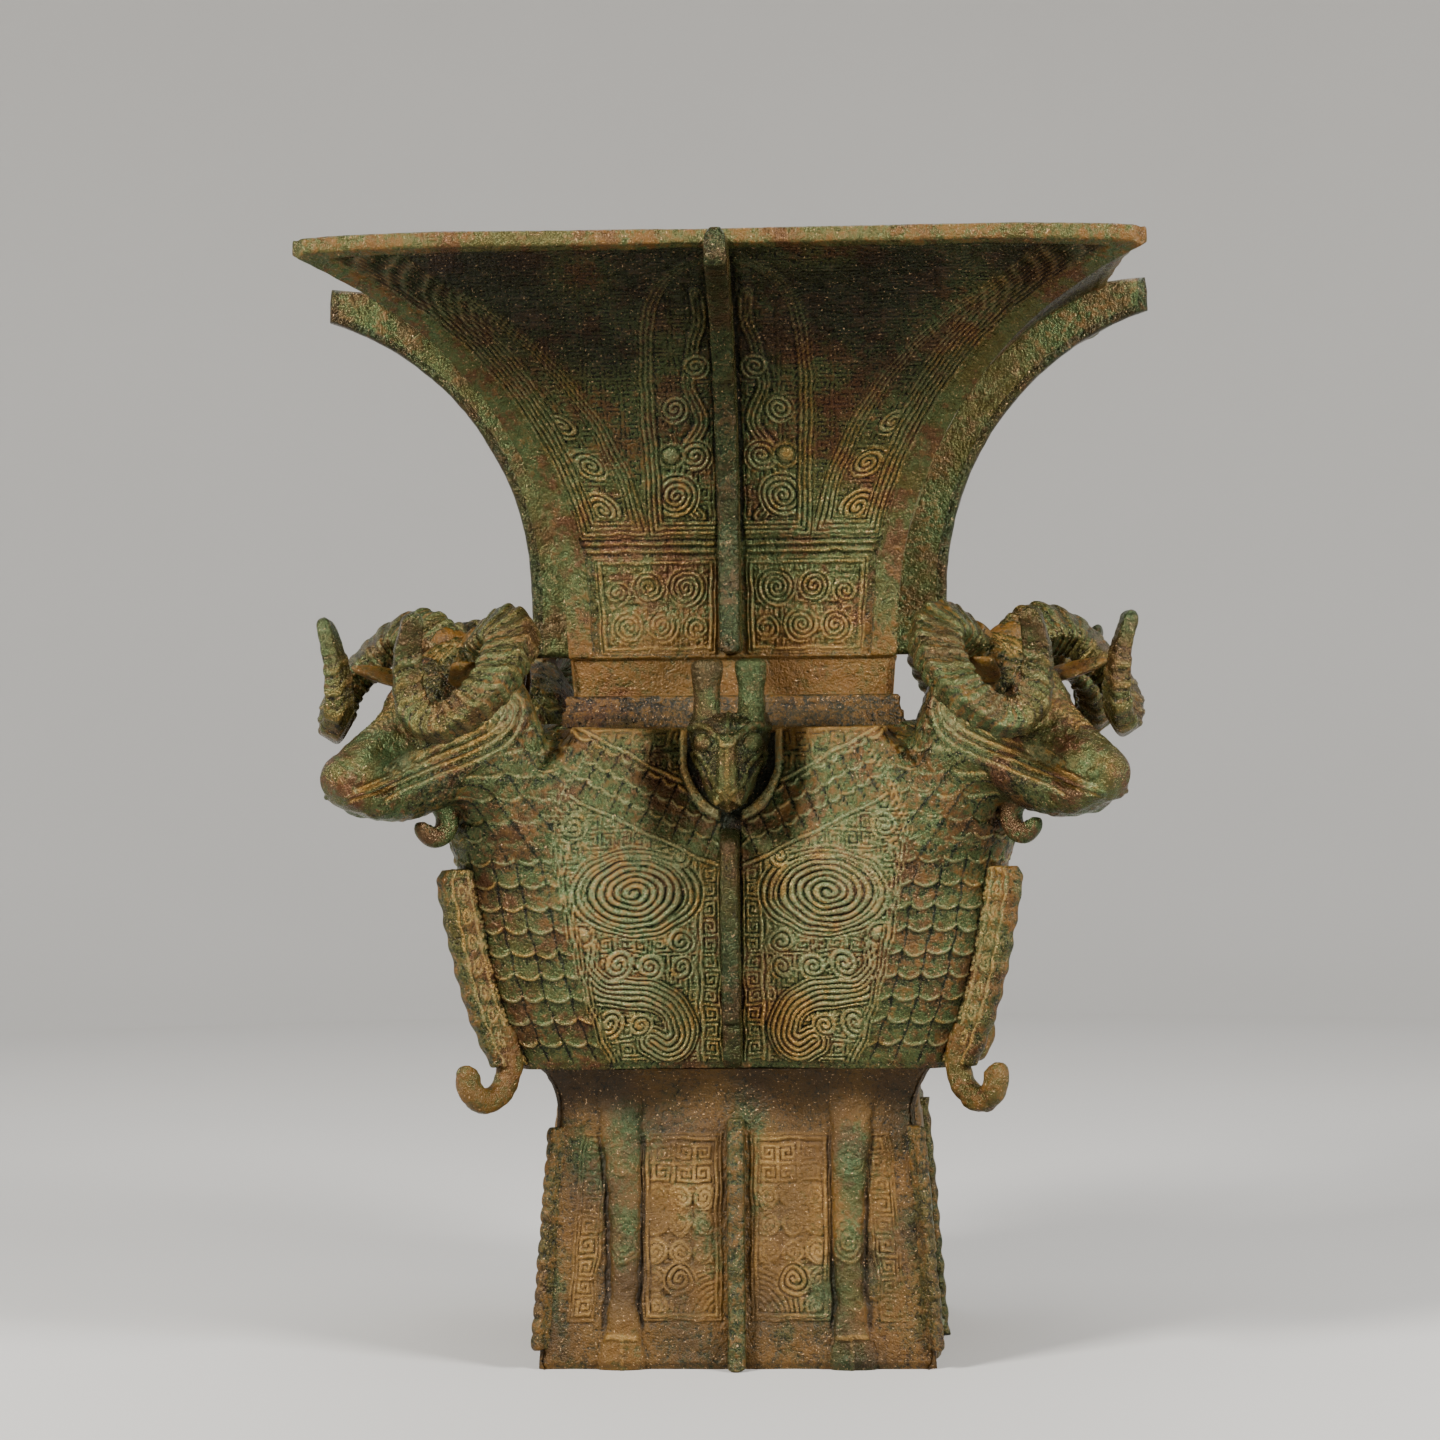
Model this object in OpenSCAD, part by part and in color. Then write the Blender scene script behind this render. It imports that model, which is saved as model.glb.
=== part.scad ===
// Square bronze zun wine vessel: flared mouth and neck, bulging belly and hollow foot,
// with ram heads at the corners, dragon heads on the shoulder and plate flanges.
// Origin at the middle of the foot's underside, front towards -Y, up is +Z, millimetres.

/* [Foot] */
// Height of the hollow square foot
foot_h = 90; // [80:1:100]
// Width across the bottom of the foot
foot_bottom_w = 120; // [114:1:128]
// Width across the narrowest part of the foot
foot_waist_w = 108; // [104:1:112]
// Width across the top edge of the foot, under the belly
foot_top_w = 118; // [115:1:121]
// Height of the hollow curve below the belly
foot_curve_h = 14; // [11:0.5:18]
// Wall of the foot
foot_wall = 4; // [3:0.1:5]
// How far the ram legs stand out from the foot
leg_relief = 2.6; // [1.5:0.1:3.4]
// Distance of each leg from the middle of its face
leg_offset = 34; // [31:0.5:37]
// Width of a leg
leg_w = 13; // [10:0.5:16]

/* [Belly] */
// Height from the underside of the belly to the collar
belly_h = 102; // [92:1:112]
// Width across the middle of the faces at the widest point
belly_w = 140; // [136:1:146]
// Width over the ram chests at the corners
chest_w = 164; // [158:1:170]
// Wall of the belly
belly_wall = 4; // [3:0.1:5]
// Thickness of the belly's floor
floor_t = 5; // [4:0.1:7]
// Height of the collar that carries the neck
collar_h = 9.5; // [8:0.5:12]
// Width of the collar
collar_w = 101; // [98:0.5:104]
// Height of the plug under the floor that sits in the foot
plug_h = 5; // [3:0.5:8]

/* [Neck] */
// Height of the neck from the collar to the lip
neck_h = 131.5; // [120:0.5:142]
// Width of the neck where it stands on the collar
neck_bottom_w = 97; // [96:0.5:98]
// Width of the neck where the flare starts
neck_waist_w = 100; // [99:0.5:103]
// Height of the nearly straight part at the bottom
neck_straight_h = 20.5; // [16:0.5:26]
// Width over the lip
mouth_w = 242; // [230:1:254]
// Height of the lip band
lip_h = 4.5; // [3:0.5:6]
// Width of the flat top of the lip
lip_flat = 4; // [3:0.5:6]
// Wall of the neck
neck_wall = 4; // [3.4:0.1:5]
// How deep the spigot of the neck goes into the collar
spigot_h = 9; // [6:0.5:12]
// Depth of the ornament field between the corner bands
field_depth = 1; // [0.6:0.1:1.4]
// Width of the raised bands along the corners
corner_band = 8; // [6:0.5:11]

/* [Flanges] */
// Thickness of the neck flanges
neck_flange_t = 6; // [4.5:0.1:7]
// How far the neck flanges stand out
neck_flange_out = 15.5; // [12:0.5:18]
// How far the upper ends of the neck flanges reach past the lip
lip_hook = 8; // [5:0.5:11]
// Thickness of the belly and chest flanges
belly_flange_t = 5.2; // [4:0.1:6.5]
// How far the belly flanges stand out
belly_flange_out = 13; // [9:0.5:16]
// How far the chest flanges stand out
chest_flange_out = 11.5; // [9:0.5:14]
// Radius of the hook at the lower end of a chest flange
hook_r = 10.5; // [9:0.5:12]
// Thickness of the foot flanges
foot_flange_t = 5; // [4:0.1:6]
// How far the foot flanges stand out
foot_flange_out = 5; // [4:0.5:8]
// Thickness of the scalloped flanges on the foot's corners
corner_flange_t = 3.4; // [2.6:0.1:4]
// Radius of their scallops
scallop_r = 4.8; // [4.6:0.1:5.2]
// How deep they are let into the corners
corner_tongue = 3; // [2.4:0.1:3.4]
// How deep every flange is let into its slot
tongue = 1.6; // [1:0.1:2]

/* [Ram heads] */
// Length from the seat to the muzzle
ram_l = 58.8; // [54:0.2:64]
// Height of the head above its seat
ram_h = 40.5; // [38:0.5:43]
// Width of the neck of the ram at its seat
ram_w = 36; // [33:0.5:38]
// Diameter of the tenon that holds the head
ram_tenon_d = 18; // [14:0.5:20]
// Length of that tenon
ram_tenon_l = 6; // [4:0.5:6.5]
// Thickness of a horn at its root
horn_t = 11.4; // [9.5:0.1:12.4]
// How much broader than thick a horn is
horn_broad = 1.35; // [1.1:0.01:1.45]
// Thickness of a horn at its tip
horn_tip_t = 4.4; // [3.4:0.1:5.2]
// Number of ridges along a horn
horn_ridges = 15; // [11:1:19]
// Diameter of the peg at the root of a horn
horn_peg_d = 6; // [4.5:0.1:6.4]
// Length of that peg
horn_peg_l = 3.4; // [2.4:0.1:3.6]

/* [Dragon heads] */
// Width over the brow
dragon_w = 24; // [20:0.5:27]
// How far the head stands out from its pad
dragon_out = 19; // [16:0.5:22]
// Height of the head without its horns
dragon_h = 27; // [24:0.5:28]
// Height of the bottle horns
dragon_horn_h = 19; // [16:0.5:20.5]
// Diameter of the knob of a bottle horn
dragon_horn_d = 9.4; // [8.4:0.1:10]
// Diameter of the peg behind the head
dragon_peg_d = 8; // [6:0.5:10]
// Length of that peg
dragon_peg_l = 7; // [5:0.5:7.5]

/* [Fit] */
// Clearance between pieces that fit together
gap = 0.15; // [0.1:0.01:0.25]

/* [Hidden] */
$fn = 48;
far = 200;
// Levels from the floor up
z_belly = foot_h;
z_waist = foot_h - foot_curve_h;
z_collar = z_belly + belly_h;
z_neck = z_collar + collar_h;
z_top = z_neck + neck_h;
z_flare = z_neck + neck_straight_h;
z_lip = z_top - lip_h;
// Flare of the neck: an arc that starts upright and ends under the lip
flare_h = z_lip - z_flare;
flare_run = mouth_w / 2 - 0.5 - neck_waist_w / 2;
flare_r = (flare_h * flare_h + flare_run * flare_run) / (2 * flare_run);
flare_c = neck_waist_w / 2 + flare_r;
// Hollow curve at the top of the foot, made the same way
curve_run = (foot_top_w - foot_waist_w) / 2;
curve_r = (foot_curve_h * foot_curve_h + curve_run * curve_run) / (2 * curve_run);
// Square sockets of the two casting joints
foot_socket = foot_waist_w / 2 - foot_wall;
collar_bore = neck_bottom_w / 2 - 4;
spigot_wall = 3.6;
// Belly section: height share, share of the half width, share of the chest width
levels = [
    [0, 0.871, 0.763],
    [0.07, 0.9, 0.8],
    [0.2, 0.943, 0.856],
    [0.34, 0.979, 0.894],
    [0.49, 1, 0.926],
    [0.59, 1, 0.946],
    [0.69, 0.976, 0.97],
    [0.78, 0.921, 1],
    [0.88, 0.85, 1],
    [1, 0.757, 0.976]
];
heights = [for (l = levels) l[0]];
hollow_heights = concat([floor_t / belly_h], [for (h = heights) if (h > 0.08 && h < 0.9) h], [0.93]);
// Seat of a ram head: a plane sloping 45 degrees across the corner
throat_share = 0.735;
seat_half = ram_w * 0.53;
seat_z = z_belly + throat_share * belly_h + seat_half * sin(45);
seat_a = sqrt(2) * chest_at(throat_share) - 1 - seat_half * cos(45);
seat_wall = 8.6;
// Scale of the ram's section tables
kl = ram_l / 58.8;
kh = ram_h / 40.5;
kw = ram_w / 36;
// Upper and lower outline points of the ram's head from the seat to the muzzle, with half widths
ram_sections = [
    [[-9.5, 23], [15, -11], 17.5],
    [[-3, 32.5], [17.5, -9.5], 17],
    [[5, 39], [20.5, -9.5], 16.2],
    [[13, 40.5], [25, -11], 15.6],
    [[21, 36.5], [30, -12.3], 14.6],
    [[29, 30], [35, -13], 13],
    [[37, 22], [40.5, -12.5], 10.8],
    [[45, 16], [46, -11.4], 9.2],
    [[52, 11.6], [51.5, -9], 8.4],
    [[57, 7.4], [55.5, -5.4], 7.2],
    [[58.8, 3.6], [58, -1.6], 4]
];
// Centre line of a horn: out from the top of the head, round the ear, up at the front
horn_path = [
    [9, 7.5, 37],
    [11.5, 19.5, 41.5],
    [15, 29, 39],
    [23.5, 33.8, 30],
    [31, 32.8, 21.8],
    [38, 25, 15.4],
    [42, 19, 18.2],
    [43, 17, 24.5],
    [44, 17.8, 35],
    [44.8, 22, 46.5]
];
horn_centre = [28, 25, 29];
horn_dir = unit(horn_path[1] - horn_path[0]);
horn_steps = 2 * horn_ridges;
// Pad and head of a dragon
dragon_pad = belly_w / 2 - 4;
dragon_low = z_belly + 0.775 * belly_h;
dragon_sections = [
    [0, 0.3, 0.74],
    [0.08, 0.45, 0.92],
    [0.23, 0.61, 1],
    [0.42, 0.78, 0.98],
    [0.64, 0.94, 0.9],
    [0.86, 1, 0.72],
    [1, 0.94, 0.5]
];
// Names of the sides and corners with their directions
sides = [["front", -90], ["right", 0], ["back", 90], ["left", 180]];
corners = [["front_right", -45], ["back_right", 45], ["back_left", 135], ["front_left", -135]];

// Small helpers
function unit(v) = v / norm(v);
function mid_at(f) = belly_w / 2 * lookup(f, [for (l = levels) [l[0], l[1]]]);
function chest_at(f) = chest_w / 2 * lookup(f, [for (l = levels) [l[0], l[2]]]);

// One closed section of the belly: a square whose corners swell into the ram chests
function soft_square(t) = 1 / pow(pow(abs(cos(t)), 8) + pow(abs(sin(t)), 8), 1 / 8);
function swell(t, m, d) = 1 + (sqrt(2) * d / (m * soft_square(45)) - 1) * pow(abs(sin(2 * t)), 3);
function belly_radius(t, m, d) = m * soft_square(t) * swell(t, m, d);
function belly_ring(f) = [
    for (i = [0:47])
        let (t = 7.5 * i, q = belly_radius(t, mid_at(f), chest_at(f)))
            [q * cos(t), q * sin(t), z_belly + f * belly_h]
];

// One section of the hollow, which also keeps back from the ram seats
function hollow_ring(f) =
    let (
        z = z_belly + f * belly_h,
        m = mid_at(f) - belly_wall,
        d = chest_at(f) - belly_wall * 1.2,
        room = seat_a + seat_z - seat_wall * sqrt(2) - z
    )
        [
            for (i = [0:47])
                let (
                    t = 7.5 * i,
                    diagonal = max(abs(cos(t - 45)), abs(sin(t - 45))),
                    q = min(belly_radius(t, m, d), room / diagonal)
                )
                    [q * cos(t), q * sin(t), z]
        ];

// Upper end of the hollow, inside the bore of the collar
ceiling_ring = [
    for (i = [0:47])
        let (t = 7.5 * i, q = (collar_bore - 4) * soft_square(t))
            [q * cos(t), q * sin(t), z_collar - 2]
];

// Solid through a list of closed sections
module loft(rings) {
    m = len(rings[0]);
    n = len(rings);
    skin = [
        for (i = [0:n - 2], j = [0:m - 1])
            let (k = (j + 1) % m)
                each [
                    [i * m + j, (i + 1) * m + j, (i + 1) * m + k],
                    [i * m + j, (i + 1) * m + k, i * m + k]
                ]
    ];
    low = [for (j = [0:m - 1]) j];
    high = [for (j = [m - 1:-1:0]) (n - 1) * m + j];
    polyhedron([for (r = rings) each r], concat([low], skin, [high]));
}

// Puts a profile drawn as (distance from the axis, height) upright in the plane of a side or corner
module plate(angle, t) {
    rotate([0, 0, angle])
        rotate([90, 0, 0])
            linear_extrude(height = t, center = true)
                children();
}

// Square casting whose four faces all follow one profile
module squared() {
    intersection() {
        plate(0, far * 2) children();
        plate(90, far * 2) children();
    }
}

// Outline of the neck grown by a distance, drawn on both sides of the axis
module neck_outline(grow) {
    polygon([
        [-neck_bottom_w / 2 - grow, z_neck],
        [neck_bottom_w / 2 + grow, z_neck],
        [neck_waist_w / 2 + grow, z_flare],
        [-neck_waist_w / 2 - grow, z_flare]
    ]);
    difference() {
        translate([-mouth_w / 2, z_flare])
            square([mouth_w, z_top - z_flare]);
        for (s = [-1, 1])
            translate([s * flare_c, z_flare])
                circle(r = flare_r - grow);
    }
}

// Outline of the foot grown by a distance
module foot_outline(grow) {
    half = foot_waist_w / 2 + grow;
    polygon([
        [-foot_bottom_w / 2 - grow, 0],
        [foot_bottom_w / 2 + grow, 0],
        [half, z_waist],
        [-half, z_waist]
    ]);
    difference() {
        translate([-foot_top_w / 2 - grow, z_waist])
            square([foot_top_w + 2 * grow, foot_curve_h]);
        for (s = [-1, 1])
            translate([s * (foot_waist_w / 2 + curve_r), z_waist])
                circle(r = curve_r - grow);
    }
}

// Slots take the flange profile with room around it
module slot(angle, t) {
    plate(angle, t + 2 * gap) children();
}

// Profile of a face flange on the neck; room grows it for its slot
module neck_flange_profile(room) {
    low = z_neck + 13 - room;
    out = neck_waist_w / 2 + neck_flange_out;
    end = mouth_w / 2 + lip_hook;
    bend = z_flare + 12;
    top = z_top - 3;
    rise = top - 9 - bend;
    r = (rise * rise + (end - out) * (end - out)) / (2 * (end - out));
    difference() {
        translate([0, low])
            square([end, top - low]);
        translate([out, low - 1])
            square([far, bend - low + 1]);
        translate([out + r, bend])
            circle(r = r);
        translate([mouth_w / 2 + 0.6, top - 3.4])
            square([2.2, 4]);
        neck_outline(-tongue - room);
    }
}

// Profile of a face flange on the belly
module belly_flange_profile(room) {
    f0 = 0.01;
    f1 = 0.71;
    run = [f0, for (h = heights) if (h > f0 && h < f1) h, f1];
    n = len(run);
    polygon(concat(
        [for (f = run) [mid_at(f) - tongue - room, z_belly + f * belly_h]],
        [for (i = [n - 1:-1:0]) [mid_at(run[i]) + belly_flange_out, z_belly + run[i] * belly_h]]
    ));
}

// Profile of a chest flange with the hook at its foot
module chest_flange_profile(room) {
    f0 = 0.012;
    f1 = 0.6;
    run = [f0, for (h = heights) if (h > f0 && h < f1) h, f1];
    n = len(run);
    polygon(concat(
        [for (f = run) [sqrt(2) * chest_at(f) - tongue - room, z_belly + f * belly_h]],
        [for (i = [n - 1:-1:0])
            [sqrt(2) * chest_at(run[i]) + chest_flange_out, z_belly + run[i] * belly_h]]
    ));
}

// Hook that curls out and up below a chest flange
module hook_profile() {
    root = sqrt(2) * chest_at(0);
    thick = hook_r * 0.66;
    centre = [root + hook_r * 1.35, z_belly - hook_r * 0.1];
    difference() {
        union() {
            translate(centre)
                circle(r = hook_r);
            polygon([
                [root + hook_r * 0.1, z_belly + hook_r * 0.15],
                [root + hook_r * 0.8, z_belly + hook_r * 1.2],
                [centre[0], z_belly + hook_r * 0.6],
                centre,
                [centre[0] - hook_r * 0.5, centre[1] - hook_r * 0.8]
            ]);
        }
        translate(centre)
            circle(r = hook_r - thick);
        translate(centre + [thick - hook_r, 0])
            square([2 * (hook_r - thick), hook_r + 20]);
        translate(centre + [0, hook_r * 0.45])
            square([hook_r + 20, hook_r + 20]);
    }
}

// Profile of a face flange on the foot
module foot_flange_profile(room) {
    difference() {
        intersection() {
            foot_outline(foot_flange_out);
            translate([0, -room])
                square([far, z_waist - 1 + 2 * room]);
        }
        foot_outline(-tongue - room);
    }
}

// Corner edge of the foot at a height
function foot_edge(z) = sqrt(2) / 2 * (foot_bottom_w + (foot_waist_w - foot_bottom_w) * z / z_waist);

// Profile of a scalloped corner flange on the foot
module foot_corner_profile(room) {
    n = 7;
    low = 6;
    high = z_waist - 4;
    deep = corner_tongue + room;
    step = (high - low) / n;
    union() {
        polygon([
            [foot_edge(low) - deep, low - room],
            [foot_edge(low) + 0.8, low - room],
            [foot_edge(high) + 0.8, high + room],
            [foot_edge(high) - deep, high + room]
        ]);
        for (i = [0:n - 1])
            intersection() {
                translate([foot_edge(low + step * (i + 0.5)) - 1.6, low + step * (i + 0.5)])
                    circle(r = scallop_r);
                translate([foot_edge(high), low])
                    square([far, high - low]);
            }
    }
}

// Outline of one leg and hoof in relief, seen from the front
module leg_outline() {
    polygon([
        [-leg_w * 0.62, foot_h],
        [-leg_w * 0.5, foot_h * 0.7],
        [-leg_w * 0.36, foot_h * 0.44],
        [-leg_w * 0.36, foot_h * 0.2],
        [-leg_w * 0.6, 0],
        [leg_w * 0.6, 0],
        [leg_w * 0.36, foot_h * 0.2],
        [leg_w * 0.36, foot_h * 0.44],
        [leg_w * 0.5, foot_h * 0.7],
        [leg_w * 0.62, foot_h]
    ]);
}

// Legs on the two faces that a profile crosses
module legs(angle) {
    intersection() {
        plate(angle, far * 2)
            for (s = [-1, 1])
                translate([s * leg_offset, 0])
                    leg_outline();
        plate(angle + 90, far * 2)
            foot_outline(leg_relief);
    }
}

// Frame of a ram's seat: local z is the direction of its neck
module on_seat(angle) {
    rotate([0, 0, angle])
        translate([seat_a, 0, seat_z])
            rotate([0, 45, 0])
                children();
}

// Section of the ram's head through an upper and a lower point
function ram_ring(top, low, w) = [
    for (i = [0:17])
        let (
            t = 20 * i,
            c = sign(cos(t)) * pow(abs(cos(t)), 0.85),
            s = sign(sin(t)) * pow(abs(sin(t)), 0.85),
            mid = (top + low) / 2,
            up = (top - low) / 2
        )
            [seat_a + mid[0] + s * up[0], c * w, seat_z + mid[1] + s * up[1]]
];
function seat_corner(s) = s * seat_half * cos(45) * [-1, 1];
function stretched(p) = [p[0] * kl, p[1] * kh];

// Place on the ram's head in its own lengths
function on_ram(p, side) = [seat_a + p[0] * kl, side * p[1] * kw, seat_z + p[2] * kh];

// Point on the horn's centre line, t from 0 to 1
function spline(p0, p1, p2, p3, u) =
    0.5 * (2 * p1 + (p2 - p0) * u + (2 * p0 - 5 * p1 + 4 * p2 - p3) * u * u
        + (3 * p1 - p0 - 3 * p2 + p3) * u * u * u);
function horn_point(t, side) =
    let (
        n = len(horn_path) - 1,
        x = t * n,
        i = min(floor(x), n - 1),
        a = max(i - 1, 0),
        b = min(i + 2, n)
    )
        on_ram(spline(horn_path[a], horn_path[i], horn_path[i + 1], horn_path[b], x - i), side);

// One section of a horn, square to its path, every second one drawn in for the ridges
function horn_ring(i, side) =
    let (
        t = i / horn_steps,
        p = horn_point(t, side),
        d = i == 0
            ? horn_axis(side)
            : unit(horn_point(min(t + 0.01, 1), side) - horn_point(max(t - 0.01, 0), side)),
        o = p - on_ram(horn_centre, side),
        e = unit(o - (o * d) * d),
        b = cross(d, e),
        taper = horn_t + (horn_tip_t - horn_t) * pow(t, 1.3),
        broad = 1 + (horn_broad - 1) * min(t * 10, 1),
        r = taper / 2 * (i % 2 == 0 ? 1 : 0.86)
    )
        [for (k = [0:7]) p + r * (broad * cos(45 * k + 22.5) * e + sin(45 * k + 22.5) * b)];
function horn_axis(side) =
    unit([horn_dir[0], side * horn_dir[1], horn_dir[2]]);

// Peg direction of a horn as a rotation from +Z
module on_horn(side) {
    d = horn_axis(side);
    translate(on_ram(horn_path[0], side))
        rotate([0, acos(d[2]), atan2(d[1], d[0])])
            children();
}

// Leaf-shaped ear inside the curl of the horn
module ear(side) {
    translate(on_ram([19, 13, 26], side))
        rotate([0, 0, side * 38])
            rotate([side * 20, -14, 0])
                linear_extrude(height = 2.4 * kw, center = true)
                    intersection() {
                        translate([8 * kw, -9 * kw])
                            circle(r = 14 * kw);
                        translate([8 * kw, 9 * kw])
                            circle(r = 14 * kw);
                    }
}

// The hollow foot with the ram legs in relief
module foot() {
    color([0.62, 0.45, 0.26])
        difference() {
            union() {
                squared() foot_outline(0);
                legs(0);
                legs(90);
            }
            squared()
                intersection() {
                    foot_outline(-foot_wall);
                    translate([-far, -1])
                        square([far * 2, foot_h + 2]);
                }
            translate([-foot_socket, -foot_socket, z_waist - 2])
                cube([foot_socket * 2, foot_socket * 2, far]);
            for (s = sides)
                slot(s[1], foot_flange_t) foot_flange_profile(gap);
            for (c = corners)
                slot(c[1], corner_flange_t) foot_corner_profile(gap);
        }
}

// The belly with its four chests, its collar and its plug
module belly() {
    plug = foot_socket - gap;
    color([0.42, 0.46, 0.32])
        difference() {
            union() {
                difference() {
                    loft([for (h = heights) belly_ring(h)]);
                    for (c = corners)
                        on_seat(c[1])
                            translate([-far / 2, -far / 2, 0])
                                cube(far);
                }
                translate([-collar_w / 2, -collar_w / 2, z_collar - 6])
                    cube([collar_w, collar_w, collar_h + 6]);
                translate([-plug, -plug, z_belly - plug_h])
                    cube([plug * 2, plug * 2, plug_h + 2]);
                for (s = sides)
                    rotate([0, 0, s[1]])
                        translate([collar_w / 2 - 8, -dragon_w * 0.38, dragon_low + 3])
                            cube([dragon_pad - collar_w / 2 + 8, dragon_w * 0.76, dragon_h - 5]);
            }
            loft(concat([for (f = hollow_heights) hollow_ring(f)], [ceiling_ring]));
            translate([-collar_bore, -collar_bore, z_collar - 8])
                cube([collar_bore * 2, collar_bore * 2, far]);
            for (c = corners)
                on_seat(c[1])
                    translate([0, 0, -ram_tenon_l - gap])
                        cylinder(d = ram_tenon_d + 2 * gap, h = far);
            for (s = sides)
                rotate([0, 0, s[1]])
                    translate([dragon_pad - dragon_peg_l - gap, 0, dragon_low + dragon_h * 0.5])
                        rotate([0, 90, 0])
                            cylinder(d = dragon_peg_d + 2 * gap, h = far);
            for (s = sides)
                slot(s[1], belly_flange_t) belly_flange_profile(gap);
            for (c = corners)
                slot(c[1], belly_flange_t) chest_flange_profile(gap);
        }
}

// The neck with its flared mouth, lip and spigot
module neck() {
    inner = collar_bore - gap;
    hollow = inner - spigot_wall;
    color([0.45, 0.42, 0.27])
        difference() {
            union() {
                squared() neck_outline(0);
                translate([-inner, -inner, z_neck - spigot_h])
                    cube([inner * 2, inner * 2, spigot_h + 1]);
            }
            squared()
                intersection() {
                    neck_outline(-neck_wall);
                    translate([-mouth_w / 2 + lip_flat, z_flare - 1])
                        square([mouth_w - 2 * lip_flat, far]);
                }
            translate([-hollow, -hollow, z_neck - far / 2])
                cube([hollow * 2, hollow * 2, far / 2 + neck_straight_h + 0.5]);
            translate([-far, -far, z_top])
                cube([far * 2, far * 2, 10]);
            for (a = [0, 90])
                intersection() {
                    plate(a, far * 2)
                        intersection() {
                            neck_outline(-corner_band);
                            translate([-far, z_neck + 12])
                                square([far * 2, z_lip - 3 - z_neck - 12]);
                        }
                    plate(a + 90, far * 2)
                        difference() {
                            translate([-far, z_neck + 12])
                                square([far * 2, z_lip - 3 - z_neck - 12]);
                            neck_outline(-field_depth);
                        }
                }
            for (s = sides)
                slot(s[1], neck_flange_t) neck_flange_profile(gap);
        }
}

// A ram's head and neck with its tenon, ears, eyes and beard
module ram_head(angle) {
    peg_hole = horn_peg_l + gap;
    color([0.4, 0.43, 0.3])
        rotate([0, 0, angle])
            difference() {
                union() {
                    loft(concat(
                        [ram_ring(seat_corner(1), seat_corner(-1), ram_w / 2)],
                        [for (r = ram_sections) ram_ring(stretched(r[0]), stretched(r[1]), r[2] * kw)]
                    ));
                    on_seat(0)
                        translate([0, 0, -ram_tenon_l])
                            cylinder(d = ram_tenon_d, h = ram_tenon_l + 1);
                    for (side = [-1, 1]) {
                        on_horn(side)
                            translate([0, 0, -horn_peg_l - 3])
                                cylinder(d = horn_t, h = horn_peg_l + 3 - gap);
                        ear(side);
                        translate(on_ram([27, 10.5, 14], side))
                            sphere(r = 4 * kw);
                    }
                    translate([seat_a + 24 * kl, 0, seat_z - 13 * kh])
                        rotate([90, 0, 0])
                            linear_extrude(height = 5 * kw, center = true)
                                difference() {
                                    circle(r = 6 * kw);
                                    translate([4 * kw, -1.5 * kw])
                                        circle(r = 4 * kw);
                                }
                }
                for (side = [-1, 1])
                    on_horn(side) {
                        translate([0, 0, -peg_hole])
                            cylinder(d = horn_peg_d + 2 * gap, h = peg_hole + 5);
                        translate([0, 0, -gap / 2])
                            cylinder(d1 = horn_t + 2 * gap, d2 = horn_t * horn_broad, h = horn_t * 0.8);
                    }
            }
}

// A ridged horn with the peg at its root, side -1 is the ram's right
module horn(angle, side) {
    color([0.3, 0.33, 0.25])
        rotate([0, 0, angle])
            union() {
                loft([for (i = [0:horn_steps]) horn_ring(i, side)]);
                on_horn(side)
                    translate([0, 0, -horn_peg_l])
                        cylinder(d = horn_peg_d, h = horn_peg_l + 1);
            }
}

// A dragon head with two bottle horns and the peg behind it
module dragon_head(angle) {
    color([0.24, 0.2, 0.16])
        rotate([0, 0, angle]) {
            back = dragon_pad + gap;
            loft([
                for (s = dragon_sections)
                    [for (i = [0:16])
                        let (t = -90 + 180 * i / 16)
                            [
                                back + dragon_out * s[2] * pow(max(cos(t), 0), 0.7),
                                dragon_w / 2 * s[1] * sin(t),
                                dragon_low + s[0] * dragon_h
                            ]]
            ]);
            translate([back - dragon_peg_l, 0, dragon_low + dragon_h * 0.5])
                rotate([0, 90, 0])
                    cylinder(d = dragon_peg_d, h = dragon_peg_l + 2);
            for (s = [-1, 1])
                translate([back + dragon_horn_d / 2 + 0.6, s * dragon_w * 0.27, dragon_low + dragon_h - 3])
                    rotate_extrude()
                        polygon([
                            [0, 0],
                            [dragon_horn_d * 0.46, 0],
                            [dragon_horn_d * 0.42, dragon_horn_h * 0.5],
                            [dragon_horn_d * 0.5, dragon_horn_h * 0.8],
                            [dragon_horn_d * 0.48, dragon_horn_h * 0.94],
                            [dragon_horn_d * 0.3, dragon_horn_h],
                            [0, dragon_horn_h]
                        ]);
        }
}

// Plate flanges, each one in its slot
module neck_flange(angle) {
    color([0.2, 0.16, 0.12])
        plate(angle, neck_flange_t) neck_flange_profile(0);
}

module belly_flange(angle) {
    color([0.22, 0.18, 0.14])
        plate(angle, belly_flange_t) belly_flange_profile(0);
}

module chest_flange(angle) {
    color([0.36, 0.33, 0.22])
        union() {
            plate(angle, belly_flange_t) chest_flange_profile(0);
            plate(angle, belly_flange_t) hook_profile();
        }
}

module foot_flange(angle) {
    color([0.4, 0.32, 0.2])
        plate(angle, foot_flange_t) foot_flange_profile(0);
}

module foot_corner_flange(angle) {
    color([0.45, 0.36, 0.22])
        plate(angle, corner_flange_t) foot_corner_profile(0);
}

foot();
belly();
neck();
for (c = corners) {
    ram_head(c[1]);
    horn(c[1], 1);
    horn(c[1], -1);
    chest_flange(c[1]);
    foot_corner_flange(c[1]);
}
for (s = sides) {
    dragon_head(s[1]);
    neck_flange(s[1]);
    belly_flange(s[1]);
    foot_flange(s[1]);
}
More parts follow.
